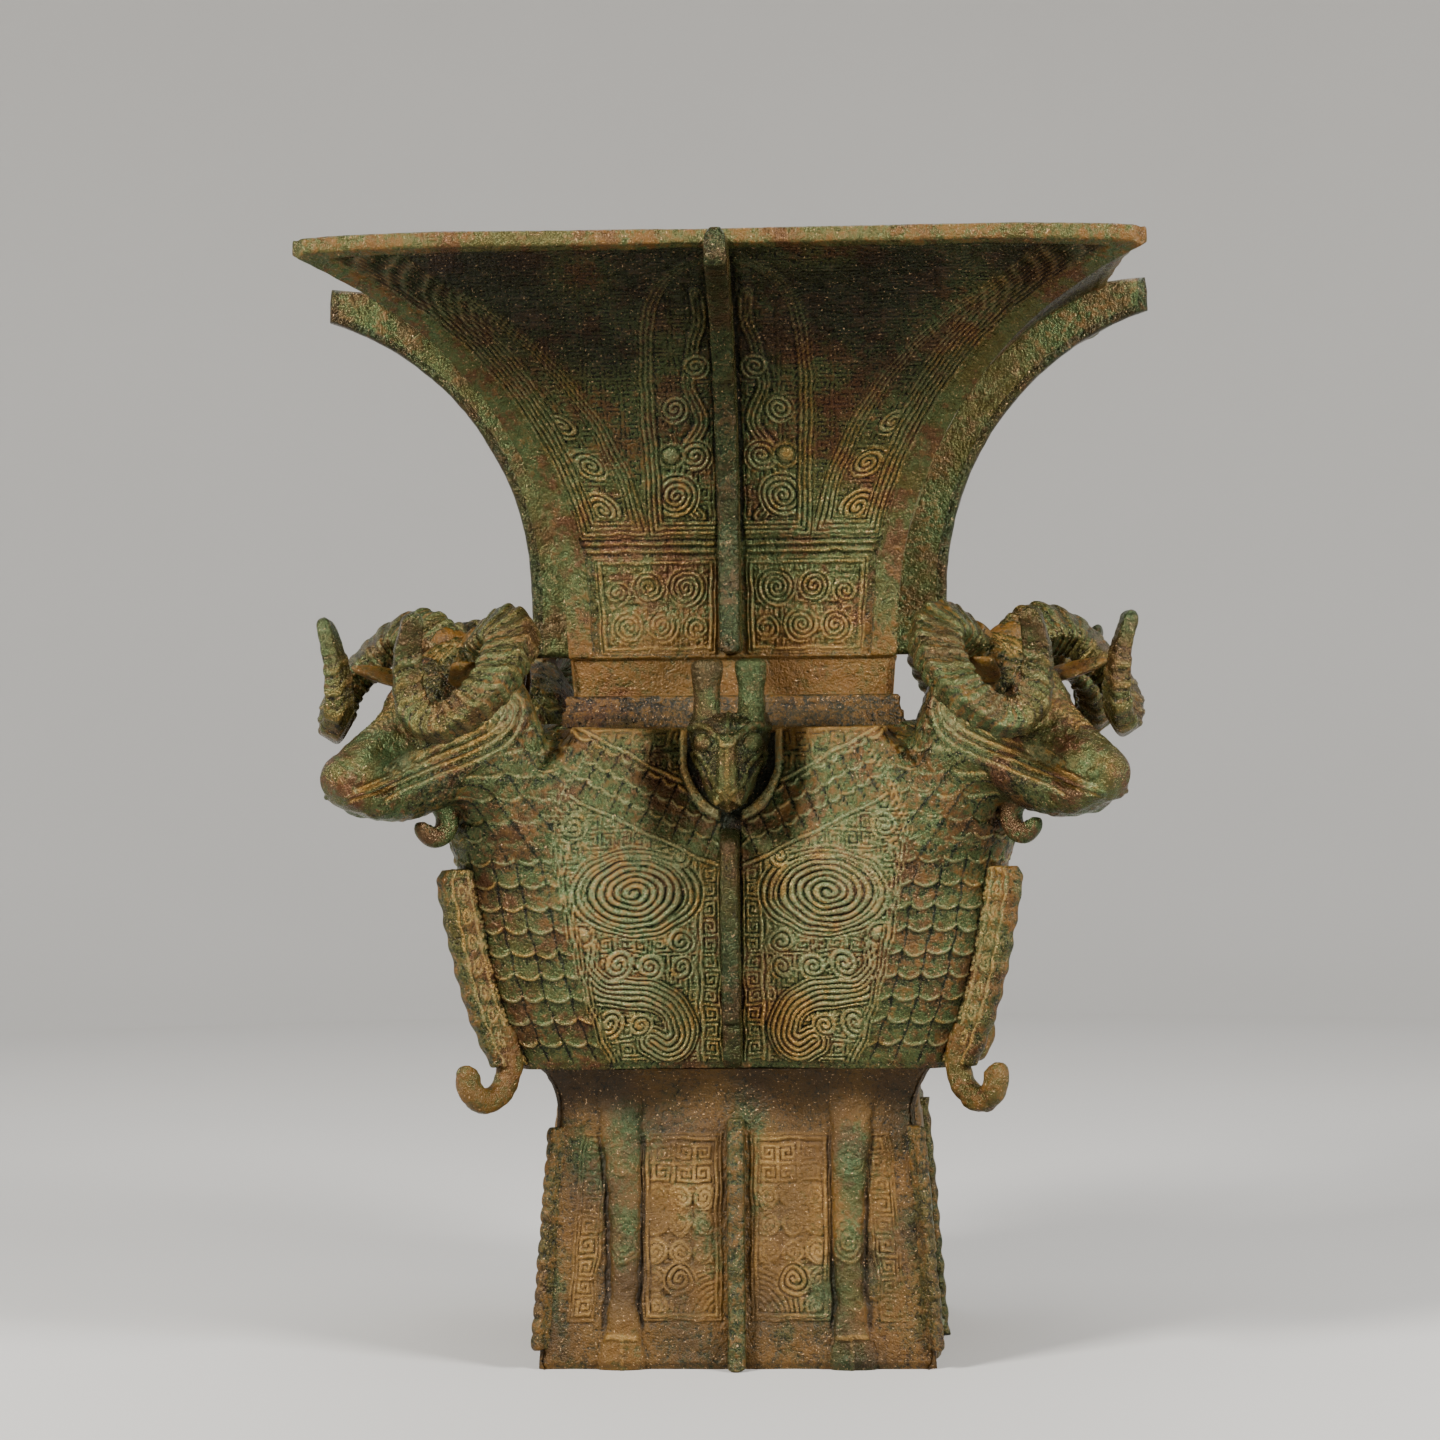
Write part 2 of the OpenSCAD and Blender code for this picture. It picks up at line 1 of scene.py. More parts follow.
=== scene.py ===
# %% [markdown]
# This lesson dresses a square bronze zun, a wine vessel with a wide flared mouth, a bulging
# belly with ram chests at its corners and a hollow foot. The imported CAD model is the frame: it
# gives every piece its place, and each piece here stands for one of its nodes. Everything is
# worked out in millimetres and turned into metres when a mesh is made.

# %% load the frame
import bpy
import math
import numpy as np
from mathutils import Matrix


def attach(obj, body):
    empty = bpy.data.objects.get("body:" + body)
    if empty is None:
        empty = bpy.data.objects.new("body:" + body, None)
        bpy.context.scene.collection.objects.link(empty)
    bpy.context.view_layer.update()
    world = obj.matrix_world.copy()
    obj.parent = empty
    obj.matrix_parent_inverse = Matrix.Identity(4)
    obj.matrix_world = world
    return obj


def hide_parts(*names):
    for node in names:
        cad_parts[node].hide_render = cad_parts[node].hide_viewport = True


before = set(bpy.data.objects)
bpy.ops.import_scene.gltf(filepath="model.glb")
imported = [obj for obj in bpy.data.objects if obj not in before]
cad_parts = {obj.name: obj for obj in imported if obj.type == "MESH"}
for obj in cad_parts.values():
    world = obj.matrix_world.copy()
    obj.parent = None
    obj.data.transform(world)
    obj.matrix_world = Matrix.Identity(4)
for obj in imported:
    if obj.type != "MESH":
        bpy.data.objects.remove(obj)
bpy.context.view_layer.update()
MM = 0.001

# %% [markdown]
# A cast vessel is a skin that bends in two directions, with shallow ornament standing on it. It
# could be carved with modifiers, but a height over a regular grid is exact and quick to change.
# So each casting is a grid of points from NumPy, and these helpers turn grids into meshes.


# %% mesh helpers
# Columns of a skin on one side, and how many of them share a column of its plainer lining.
SIDE_COLS, SIDE_STEP = 308, 11
LINING_COLS = SIDE_COLS // SIDE_STEP
SKIN_TILE, RIM_TILE = (0.0, 0.0, 1.0, 0.72), (0.0, 0.72, 1.0, 0.74)


def smooth(x, low, high):
    """Soft step from 0 at low to 1 at high."""
    t = np.clip((x - low) / (high - low), 0.0, 1.0)
    return t * t * (3.0 - 2.0 * t)


def waves(points, size, seed, count=14):
    """Slow unevenness between about -1 and 1, with features of the given size in millimetres."""
    rng = np.random.default_rng(seed)
    total = np.zeros(points.shape[:-1])
    for _ in range(count):
        way = rng.normal(size=3)
        way *= 2.0 * math.pi / (np.linalg.norm(way) * size * rng.uniform(0.7, 1.6))
        total += np.sin(points @ way + rng.uniform(0.0, 2.0 * math.pi))
    return total / math.sqrt(count)


def wobble(points, *coats):
    """Sum of waves, each given by its height, size and seed."""
    return sum(high * waves(points, size, seed) for high, size, seed in coats)


def normals_of(grid, around):
    """Unit normals of a grid of points, rows up and columns along; around says the columns close."""
    up = np.gradient(grid, axis=0)
    if around:
        along = (np.roll(grid, -1, axis=1) - np.roll(grid, 1, axis=1)) * 0.5
    else:
        along = np.gradient(grid, axis=1)
    n = np.cross(along, up)
    return n / np.maximum(np.linalg.norm(n, axis=-1, keepdims=True), 1e-9)


def lifted(grid, height, around=True):
    """A grid with its points moved along their normals by a height at each."""
    return grid + normals_of(grid, around) * height[..., None]


def quads_of(rows, cols, around, first=0):
    """Faces of a grid whose points are numbered row by row from first."""
    r, c = np.meshgrid(np.arange(rows - 1), np.arange(cols if around else cols - 1), indexing="ij")
    k = (c + 1) % cols
    corners = [r * cols + c, r * cols + k, (r + 1) * cols + k, (r + 1) * cols + c]
    return np.stack(corners, axis=-1).reshape(-1, 4) + first


def last_ring(first, grid):
    """Number of the first point in a grid's last row."""
    return first + (grid.shape[0] - 1) * grid.shape[1]


class Shape:
    """Collects grids of points into one mesh, with masks for the finish and a map for baking."""

    def __init__(self):
        self.points, self.faces, self.maps, self.masks = [], [], [], []
        self.count = 0

    def add(self, grid, around, masks, tile, close=False):
        """Adds a grid; tile is its place in the map as (u0, v0, u1, v1), close caps both ends."""
        rows, cols = grid.shape[:2]
        first = self.count
        quads = quads_of(rows, cols, around, first)
        self.points.append(grid.reshape(-1, 3))
        self.masks.append({key: np.broadcast_to(val, (rows, cols)).ravel() for key, val in masks.items()})
        self.count += rows * cols
        self.faces.append(quads)
        u0, v0, u1, v1 = tile
        span = cols if around else cols - 1
        r, c = np.meshgrid(np.arange(rows - 1), np.arange(span), indexing="ij")
        u = u0 + (u1 - u0) * np.stack([c, c + 1, c + 1, c], axis=-1) / span
        v = v0 + (v1 - v0) * np.stack([r, r, r + 1, r + 1], axis=-1) / (rows - 1)
        self.maps.append(np.stack([u, v], axis=-1).reshape(-1, 4, 2))
        if close:
            self.cap(first, cols, True, tile)
            self.cap(first + (rows - 1) * cols, cols, False, tile)
        return first

    def cap(self, first, cols, low, tile):
        """Closes a ring of points with a fan about its middle."""
        ring = np.concatenate(self.points)[first:first + cols]
        self.points.append(ring.mean(axis=0, keepdims=True))
        self.masks.append({key: val[-1:] for key, val in self.masks[-1].items()})
        c = np.arange(cols)
        k = (c + 1) % cols
        mid = np.full(cols, self.count)
        fan = np.stack([first + k, first + c, mid] if low else [first + c, first + k, mid], axis=-1)
        self.count += 1
        self.faces.append(fan)
        u0, v0, u1, v1 = tile
        turn = 2.0 * math.pi * np.stack([k, c, c] if low else [c, k, c], axis=-1) / cols
        reach = np.array([1.0, 1.0, 0.0])
        size = 0.1 * min(u1 - u0, v1 - v0)
        u = u0 + size * (1.0 + reach * np.cos(turn))
        v = v0 + size * (1.0 + reach * np.sin(turn))
        self.maps.append(np.stack([u, v], axis=-1))

    def zip_rings(self, fine, coarse, cols, tile, down=False):
        """Joins a fine ring to a coarse one that has a point for every SIDE_STEP of its points."""
        c = np.arange(cols)
        k = (c + 1) % cols
        half, count = SIDE_STEP // 2, cols // SIDE_STEP
        near = coarse + (c // SIDE_STEP + (c % SIDE_STEP >= half)) % count
        after = coarse + (k // SIDE_STEP + (k % SIDE_STEP >= half)) % count
        turn = near != after
        flat = np.stack([fine + c, fine + k, near], axis=-1)
        tips = np.stack([fine + k, after, near], axis=-1)[turn]
        tris = np.concatenate([flat, tips])
        flat_share = np.stack([c, c + 1, c], axis=-1)
        tip_share = np.stack([c + 1, c + 1, c], axis=-1)[turn]
        share = np.concatenate([flat_share, tip_share])
        rise = np.repeat([[0.0, 0.0, 1.0], [0.0, 1.0, 1.0]], [cols, turn.sum()], axis=0)
        u0, v0, u1, v1 = tile
        uv = np.stack([u0 + (u1 - u0) * share / cols, v0 + (v1 - v0) * rise], axis=-1)
        self.faces.append(tris[:, ::-1] if down else tris)
        self.maps.append(uv[:, ::-1] if down else uv)

    def join(self, skin, first, top, bottom, low_tile):
        """Joins a skin's last ring to the lining's ring at top, and its first ring to the one at bottom."""
        cols = skin.shape[1]
        self.zip_rings(last_ring(first, skin), top, cols, RIM_TILE)
        self.zip_rings(first, bottom, cols, low_tile, True)

    def piece(self, name, node, slot, finish):
        """Makes the Blender object, which rides with the vessel and stands for its CAD node."""
        co = np.concatenate(self.points) * MM
        loops = np.concatenate([f.ravel() for f in self.faces]).astype(np.int32)
        sizes = np.concatenate([np.full(len(f), f.shape[1]) for f in self.faces])
        starts = np.concatenate([[0], np.cumsum(sizes)[:-1]]).astype(np.int32)
        mesh = bpy.data.meshes.new(name)
        mesh.vertices.add(len(co))
        mesh.vertices.foreach_set("co", co.astype(np.float32).ravel())
        mesh.loops.add(len(loops))
        mesh.loops.foreach_set("vertex_index", loops)
        mesh.polygons.add(len(sizes))
        mesh.polygons.foreach_set("loop_start", starts)
        mesh.polygons.foreach_set("use_smooth", np.ones(len(sizes), dtype=bool))
        mesh.update(calc_edges=True)
        uv = mesh.uv_layers.new(name="OFBake")
        flat = np.concatenate([m.reshape(-1, 2) for m in self.maps])
        uv.data.foreach_set("uv", flat.astype(np.float32).ravel())
        for key in ("raised", "earth", "shade", "pale"):
            values = [m.get(key, np.zeros(len(p))) for m, p in zip(self.masks, self.points)]
            mask = mesh.attributes.new(key, "FLOAT", "POINT")
            mask.data.foreach_set("value", np.concatenate(values).astype(np.float32))
        mesh.materials.append(finish)
        obj = bpy.data.objects.new(name, mesh)
        bpy.context.scene.collection.objects.link(obj)
        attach(obj, "root")
        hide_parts(node)
        return obj


def turned(points, angle):
    """Points turned about the vessel's axis by an angle in degrees."""
    c, s = math.cos(math.radians(angle)), math.sin(math.radians(angle))
    x, y = points[..., 0] * c - points[..., 1] * s, points[..., 0] * s + points[..., 1] * c
    return np.stack([x, y, points[..., 2]], axis=-1)


def four_sides(half):
    """Repeats values of half a side, middle to corner, to the whole ring of four sides."""
    side = np.concatenate([half[:, :0:-1], half[:, :-1]], axis=1)
    return np.concatenate([side] * 4, axis=1)


def four_turned(side):
    """Repeats the points of one side round the vessel's axis."""
    return np.concatenate([turned(side, a) for a in (0, 90, 180, 270)], axis=-2)


print("helpers ready")

# %% [markdown]
# The bronze is old: dark brown metal under green verdigris, with ochre earth left in the hollows
# and on the foot, and red-brown patches. A painted picture would not fit every side, so the
# finish is a mix of noises, steered by masks on the points: raised lines, earth, shade and pale
# bands. The colour also carries painted light: painted shade in the hollows, inside the vessel and
# under overhanging parts, painted highlights on the crests and painted glints. A small class lets
# the shader sums be written as plain Python.


# %% shader helpers
class Value:
    """A shader socket that can be used in Python expressions."""

    def __init__(self, finish, socket):
        self.finish, self.socket = finish, socket

    def sum(self, operation, first, second):
        return self.finish.node("ShaderNodeMath", {"operation": operation}, {0: first, 1: second})

    def __add__(self, other):
        return self.sum("ADD", self, other)

    def __radd__(self, other):
        return self.sum("ADD", other, self)

    def __sub__(self, other):
        return self.sum("SUBTRACT", self, other)

    def __rsub__(self, other):
        return self.sum("SUBTRACT", other, self)

    def __mul__(self, other):
        return self.sum("MULTIPLY", self, other)

    def __rmul__(self, other):
        return self.sum("MULTIPLY", other, self)


class Finish:
    """A material under construction."""

    def __init__(self, name):
        self.material = bpy.data.materials.new(name)
        self.material.use_nodes = True
        self.tree = self.material.node_tree
        self.shader = self.tree.nodes["Principled BSDF"]
        self.place = self.node("ShaderNodeTexCoord", {}, {}, "Object")

    def node(self, kind, settings, sockets, out=0):
        """Adds a node with its settings, then the values or links of its sockets."""
        made = self.tree.nodes.new(kind)
        for key, value in settings.items():
            setattr(made, key, value)
        for key, value in sockets.items():
            self.put(self.find(made.inputs, key), value)
        return Value(self, self.find(made.outputs, out))

    @staticmethod
    def find(sockets, key):
        if isinstance(key, int):
            return sockets[key]
        named = [s for s in sockets if s.identifier == key]
        return named[0] if named else sockets[key]

    def put(self, socket, value):
        if isinstance(value, Value):
            self.tree.links.new(value.socket, socket)
        elif isinstance(value, tuple) and len(value) == 3 and socket.type == "RGBA":
            socket.default_value = (*value, 1.0)
        else:
            socket.default_value = value

    def noise(self, per_metre, detail, rough, shift):
        away = {0: self.place, 1: (shift, shift * 0.7, -shift)}
        moved = self.node("ShaderNodeVectorMath", {"operation": "ADD"}, away)
        sockets = {"Vector": moved, "Scale": per_metre, "Detail": detail, "Roughness": rough}
        return self.node("ShaderNodeTexNoise", {}, sockets, "Fac")

    def mask(self, name):
        return self.node("ShaderNodeAttribute", {"attribute_name": name}, {}, "Fac")

    def step(self, value, low, high):
        return self.node(
            "ShaderNodeMapRange", {"interpolation_type": "SMOOTHSTEP"},
            {"Value": value, "From Min": low, "From Max": high})

    def mix(self, factor, first, second):
        return self.node(
            "ShaderNodeMix", {"data_type": "RGBA"},
            {"Factor_Float": factor, "A_Color": first, "B_Color": second}, "Result_Color")

    def shine(self, **values):
        for key, value in values.items():
            self.put(self.shader.inputs[key.replace("_", " ").title().replace("Ior", "IOR")], value)


print("shader helpers ready")

# %% [markdown]
# One recipe serves every casting, because they share their metal and their age. What differs is
# how much green, earth and darkness each of them carries, and how smooth it was rubbed.

# %% the patina
# Near-black: the dark metal of the ground, and the colour that painted shade darkens towards.
DARK_METAL_AND_SHADE = (0.005, 0.004, 0.002)
MOSS = (0.006, 0.010, 0.003)
UMBER = (0.018, 0.006, 0.003)
OLIVE = (0.056, 0.046, 0.010)
VERDIGRIS = (0.040, 0.074, 0.026)
RUST = (0.074, 0.020, 0.010)
OCHRE = (0.105, 0.045, 0.002)
MINT = (0.150, 0.175, 0.085)
SAND = (0.300, 0.172, 0.045)
GLINT = (0.600, 0.380, 0.200)


def patina(name, green, rust, earth, light, gloss):
    """A cast bronze with shares, from 0 to 1, of green, rust, earth, light crust and gloss."""
    f = Finish(name)
    raised, soil, shade, pale = f.mask("raised"), f.mask("earth"), f.mask("shade"), f.mask("pale")
    broad = f.noise(24.0, 4.0, 0.55, 3.1)
    patch = f.noise(150.0, 6.0, 0.70, 7.7)
    fleck = f.noise(480.0, 4.0, 0.70, 1.3)
    grain = f.noise(1500.0, 2.0, 0.60, 5.9)
    greened = f.step(broad * 0.45 + patch * 0.35 + fleck * 0.20 + (green - 0.5) * 0.40, 0.42, 0.58)
    rusted = f.step(f.noise(70.0, 6.0, 0.70, 11.0) * 0.70 + fleck * 0.30, 0.48, 0.57)
    earthy = broad * 0.30 + patch * 0.35 + fleck * 0.35 + (earth - 0.5) * 0.40 + soil * 0.20
    earthy = f.step(earthy, 0.46, 0.60)
    # Where the crust is low, in the hollows between the lines, the skin keeps the dark ground: the metal's
    # own dark and painted shade in the recesses.
    crust = raised + (fleck - 0.5) * 0.8 + (grain - 0.5) * 0.6 + pale * 0.20 + light * 0.25
    ground = f.mix(greened, f.mix(rusted, DARK_METAL_AND_SHADE, UMBER), MOSS)
    skin = f.mix(greened, OLIVE, VERDIGRIS)
    skin = f.mix(rusted * rust, skin, RUST)
    skin = f.mix(earthy * 0.90, skin, OCHRE)
    skin = f.mix(f.step(crust, 0.18, 0.52), ground, skin)
    # On the highest crests a light crust is laid on, partly a painted highlight.
    crust_and_highlight = f.mix(f.step(greened - earthy * 0.7, 0.10, 0.90), SAND, MINT)
    skin = f.mix(f.step(crust, 0.70, 1.20) * 0.65, skin, crust_and_highlight)
    # Painted shade: the shade mask, with some noise, darkens the colour towards near-black, less on the
    # raised lines.
    gloom = f.step(shade * 0.85 + (broad - 0.5) * 0.4 + (fleck - 0.5) * 0.3, 0.15, 0.85)
    skin = f.mix(gloom, skin, f.mix(0.78 - 0.28 * f.step(raised, 0.4, 0.9), skin, DARK_METAL_AND_SHADE))
    # Painted glints: tiny light specks in the base colour.
    spark = f.step(f.noise(1500.0, 2.0, 0.5, 2.2), 0.67, 0.70)
    skin = f.mix(spark * 0.50, skin, GLINT)
    f.shine(base_color=skin, specular_ior_level=0.3)
    f.shine(roughness=0.44 - gloss * 0.24 + (grain - 0.5) * 0.35 + earthy * 0.16)
    f.shine(metallic=(1.0 - earthy * 0.8) * (0.30 + gloss * 0.40))
    pits = {"Strength": 1.0, "Distance": 0.0009, "Height": grain * 0.5 + fleck * 0.9}
    f.shine(normal=f.node("ShaderNodeBump", {}, pits, "Normal"))
    return f.material


green_bronze = patina("green_bronze", 0.55, 0.70, 0.45, 0.50, 0.75)
foot_bronze = patina("foot_bronze", 0.54, 0.45, 0.50, 0.28, 0.50)
horn_bronze = patina("horn_bronze", 0.50, 0.50, 0.44, 0.50, 0.90)
dark_bronze = patina("dark_bronze", 0.52, 0.50, 0.44, 0.50, 0.95)
print("finishes:", [m.name for m in (green_bronze, foot_bronze, horn_bronze, dark_bronze)])

# %% [markdown]
# The ornament is made of a few old motifs: square spirals, round whorls, scales and nested
# leaves. Each could be drawn by hand, but a formula for the distance to the nearest line draws
# them sharp at any scale. A spiral comes from half rings about two centres half a pitch apart.


# %% ornament motifs
def line(distance, width=0.42, soft=0.42):
    """1 on a raised line, falling to 0 beside it."""
    return 1.0 - smooth(np.abs(distance), width, width + soft)


def spiral(x, y, pitch, square=False):
    """Distance to the nearest turn of a spiral about the origin."""
    def reach(a, b):
        return np.maximum(np.abs(a), np.abs(b)) if square else np.hypot(a, b)
    turn = np.where(y >= 0.0, reach(x, y) / pitch, reach(x - pitch / 2.0, y) / pitch - 0.5)
    return (turn - np.round(turn)) * pitch


def cells(x, y, wide, high):
    """Place within repeated cells, mirrored from one to the next."""
    i, j = np.floor(x / wide), np.floor(y / high)
    lx, ly = x - (i + 0.5) * wide, y - (j + 0.5) * high
    return lx * np.where(i % 2 == 0, 1.0, -1.0), ly * np.where(j % 2 == 0, 1.0, -1.0)


def leiwen(x, y, cell=6.4, pitch=1.6):
    """Fill of square spirals."""
    lx, ly = cells(x, y, cell, cell)
    return line(spiral(lx, ly, pitch, True), 0.22 * pitch, 0.28 * pitch)


def whorls(x, y, wide, high, pitch=1.7):
    """Rows of round scrolls on a plain ground."""
    lx, ly = cells(x, y, wide, high)
    r = np.hypot(lx / wide, ly / high) * 2.0
    return line(spiral(lx, ly * wide / high, pitch)) * (1.0 - smooth(r, 0.92, 1.02))


def scales(across, along, wide, high):
    """Columns of overlapping scales: flat bodies, each with a thin raised edge that hangs in a bow."""
    col = np.floor(across / wide)
    x = (across / wide - col - 0.5) * 2.0
    y = along / high + 0.24 * (1.0 - x * x)
    row = y - np.floor(y)
    edge = line((row - 0.09) * high, 0.34, 0.42)
    gap = 1.0 - 0.9 * line((1.0 - np.abs(x)) * wide * 0.5, 0.14, 0.34)
    return np.maximum(0.22 + 0.30 * (1.0 - row), edge) * gap


def dome(share):
    """Height of a half ball at a share of its radius, 0 outside it."""
    return np.sqrt(np.clip(1.0 - share ** 2, 0.0, 1.0))


def with_ends(points):
    """Points with one more before the first and after the last, in line with their neighbours."""
    p = np.asarray(points, float)
    return np.concatenate([[2 * p[0] - p[1]], p, [2 * p[-1] - p[-2]]])


def between(a, b, c, d, u):
    """Point of a smooth curve at a share u of the way from b to c; a and d are their neighbours."""
    bent = (2 * a - 5 * b + 4 * c - d) * u ** 2 + (3 * b - a - 3 * c + d) * u ** 3
    return 0.5 * (2 * b + (c - a) * u + bent)


def track(x, y, points):
    """Distance to a smooth curve through the given points."""
    ends = with_ends(points)
    fine = []
    for a, b, c, d in zip(ends, ends[1:], ends[2:], ends[3:]):
        fine += [between(a, b, c, d, u) for u in np.linspace(0.0, 1.0, 7)[:-1]]
    fine.append(ends[-2])
    best = np.full(np.shape(x), 1e9)
    for a, b in zip(fine[:-1], fine[1:]):
        way = b - a
        t = np.clip(((x - a[0]) * way[0] + (y - a[1]) * way[1]) / max(way @ way, 1e-9), 0.0, 1.0)
        best = np.minimum(best, np.hypot(x - a[0] - t * way[0], y - a[1] - t * way[1]))
    return best


def lay(under, over, where):
    """Puts one piece of ornament over another where a mask is 1."""
    return under * (1.0 - where) + over * where


def inside(distance, soft=0.5):
    """Mask of the places where a distance is below zero."""
    return 1.0 - smooth(distance, -soft * 0.5, soft * 0.5)


def shaky(x, y, seed, by):
    """The same place shifted a little, as if the lines were drawn by hand."""
    spot = np.stack([x, y, np.zeros(np.shape(x))], axis=-1)
    return x + by * waves(spot, 9.0, seed), y + by * waves(spot, 9.0, seed + 1)


def many_lines(distance, reach, pitch):
    """Raised lines at each pitch of a distance, as far as reach."""
    near = distance - np.round(distance / pitch) * pitch
    return line(near, 0.22 * pitch, 0.28 * pitch) * inside(distance - reach)


def scrolls(lines, x, y, places, pitch, width=0.42, soft=0.42):
    """Lays round spirals over the lines, one at each place, which is (x, y, radius)."""
    for cx, cy, r in places:
        swirl = line(spiral(x - cx, y - cy, pitch), width, soft)
        lines = lay(lines, swirl * 1.2, inside(np.hypot(x - cx, y - cy) - r))
    return lines


def boss(lines, x, y, r):
    """Lays a round knob with a ring about it over the lines; x and y are taken from its middle."""
    d = np.hypot(x, y)
    return lay(lines, 1.5 * dome(d / r) + line(d - r - 0.9), inside(d - r - 1.6))


def within(x, left, right, y, low, high):
    """How far a point lies inside a rectangle, negative outside it."""
    return np.minimum(np.minimum(x - left, right - x), np.minimum(y - low, high - y))


print("motifs ready")

# %% [markdown]
# The neck is the upper casting: a square funnel that rises straight and then opens like a
# trumpet to a flat lip. Its outline could be drawn point by point, but a straight line and one
# arc give the same curve from a few sizes. The sides of the mouth are a little hollow.

# %% neck outline
Z_COLLAR, Z_NECK, Z_FLARE, Z_LIP, Z_TOP = 192.0, 201.5, 222.0, 328.5, 333.0
NECK_FOOT, NECK_WAIST, MOUTH, WALL = 48.5, 50.0, 121.0, 4.0
FLARE_H, FLARE_RUN = Z_LIP - Z_FLARE, MOUTH - 0.5 - NECK_WAIST
FLARE_R = (FLARE_H ** 2 + FLARE_RUN ** 2) / (2.0 * FLARE_RUN)
FLARE_C = NECK_WAIST + FLARE_R
FLARE_TURN = math.asin(FLARE_H / FLARE_R)
NECK_RISE = Z_FLARE - Z_NECK
NECK_LEN = NECK_RISE + FLARE_R * FLARE_TURN
MOUTH_HOLLOW, Z_HOLLOW = 5.0, 250.0
TIP_DROP, Z_DROP, TIP_CUT = 2.2, 300.0, 237.5


def neck_line(length):
    """Half width and height of the neck's outer face at a length along it from the bottom."""
    turn = np.clip((length - NECK_RISE) / FLARE_R, 0.0, FLARE_TURN)
    straight = NECK_FOOT + (NECK_WAIST - NECK_FOOT) * np.clip(length / NECK_RISE, 0.0, 1.0)
    half = np.where(length < NECK_RISE, straight, FLARE_C - FLARE_R * np.cos(turn))
    return half, np.where(length < NECK_RISE, Z_NECK + length, Z_FLARE + FLARE_R * np.sin(turn))


def trimmed(points):
    """Takes the sharp tips off the corners of the mouth."""
    over = np.clip(np.abs(points[..., 0]) + np.abs(points[..., 1]) - TIP_CUT, 0.0, None) / 2.0
    x = points[..., 0] - np.sign(points[..., 0]) * over
    y = points[..., 1] - np.sign(points[..., 1]) * over
    return np.stack([x, y, points[..., 2]], axis=-1)


def ring_of(half, height, cols, hollow=0.0):
    """A square ring of points per row, from the front right corner and on round the axis."""
    s = np.linspace(-1.0, 1.0, cols + 1)[None, :-1]
    half, height = np.asarray(half)[:, None], np.asarray(height)[:, None]
    y = half * s
    x = half - hollow * smooth(height, Z_HOLLOW, Z_TOP) * (1.0 - s ** 2)
    z = height - TIP_DROP * smooth(height, Z_DROP, Z_TOP) * np.abs(s) ** 6
    return four_turned(trimmed(np.stack([x, y, np.broadcast_to(z, y.shape)], axis=-1)))


print("neck outline:", round(NECK_LEN, 1), "mm along a face")

# %% [markdown]
# Each neck face carries a panel with whorls low down, a tall leaf with a stem and scrolls above
# it, and half a leaf at each corner. The real lines are cast with the neck and stand in a sunken
# field. Each form is worked out as a height of its own, and then they are laid over one another.

# %% neck ornament
PANEL_LOW, PANEL_HIGH, LEAF_LOW, LEAF_TOP = 12.5, 41.5, 47.2, 148.0
PANEL_WHORLS = ((1, 13.2, 32.2, 6.4), (-1, 25.2, 32.6, 5.4), (1, 34.0, 31.0, 3.8), (-1, 10.6, 20.2, 4.4),
                (1, 20.6, 21.0, 5.4), (-1, 31.4, 20.6, 5.2))
LEAF_STEM = ((9, 54), (16, 62), (13, 74), (7.5, 84), (11, 97), (9, 110), (6.5, 122), (7.5, 132))
LEAF_SCROLLS = ((15.5, 60.5, 7.2), (9.5, 73.0, 5.4), (15.0, 88.0, 5.0), (8.5, 103.0, 4.4))
SIDE_SCROLLS = ((17.0, 56.0, 6.4), (18.5, 70.0, 5.2), (17.0, 83.0, 4.6))


def neck_panel(y, along, corner):
    """Panel low on the neck: whorls over small square spirals, a frame, and two rungs above it."""
    panel = np.minimum(np.minimum(along - PANEL_LOW, PANEL_HIGH - along), np.minimum(y - 4.6, corner - 10.0))
    lines = leiwen(y - 5.0, along - PANEL_LOW - 1.0, 4.6, 1.35) * 0.8
    for way, cx, cy, r in PANEL_WHORLS:
        swirl = line(spiral((y - cx) * way, along - cy, 1.55), 0.36, 0.36)
        lines = lay(lines, swirl, inside(np.hypot(y - cx, along - cy) - r))
    lines = lay(lines, many_lines(panel, 2.4, 1.5), inside(panel - 2.6)) * inside(-panel)
    for rung in (43.4, 45.6):
        lines = np.maximum(lines, line(along - rung, 0.3, 0.4) * inside(4.6 - y) * inside(9.0 - corner))
    return lines


def neck_leaf(y, along, share):
    """Half of the tall leaf in the middle of a face, and how far inside it a point lies."""
    wide = 27.0 * np.sqrt(np.clip(1.0 - share ** 5.0, 0.0, 1.0)) * (0.93 + 0.14 * share)
    leaf = np.minimum(wide - y, along - LEAF_LOW)
    lines = leiwen(y - 4.4, along - LEAF_LOW, 5.6, 1.4) * 0.75
    stem = track(y, along, LEAF_STEM)
    lines = lay(lines, many_lines(stem, 2.4, 1.5), inside(stem - 2.7))
    lines = scrolls(lines, y, along, LEAF_SCROLLS, 1.75)
    lines = boss(lines, y - 17.0, along - 73.0, 3.0)
    lines = lay(lines, many_lines(leaf, 5.2, 1.55), inside(leaf - 5.6))
    return lines * inside(4.4 - y), leaf


def neck_side(corner, along, share):
    """Half of the leaf at a corner, and how far inside it a point lies."""
    wide = 8.6 + 21.0 * np.sqrt(np.clip(1.0 - share ** 2.6, 0.0, 1.0)) + 6.0 * share
    side = np.minimum(np.minimum(wide - corner, corner - 8.2), along - LEAF_LOW)
    lines = leiwen(corner - 8.2, along - LEAF_LOW, 5.6, 1.4) * 0.75
    lines = scrolls(lines, corner, along, SIDE_SCROLLS, 1.75)
    return lay(lines, many_lines(side, 6.4, 1.55), inside(side - 6.6)), side


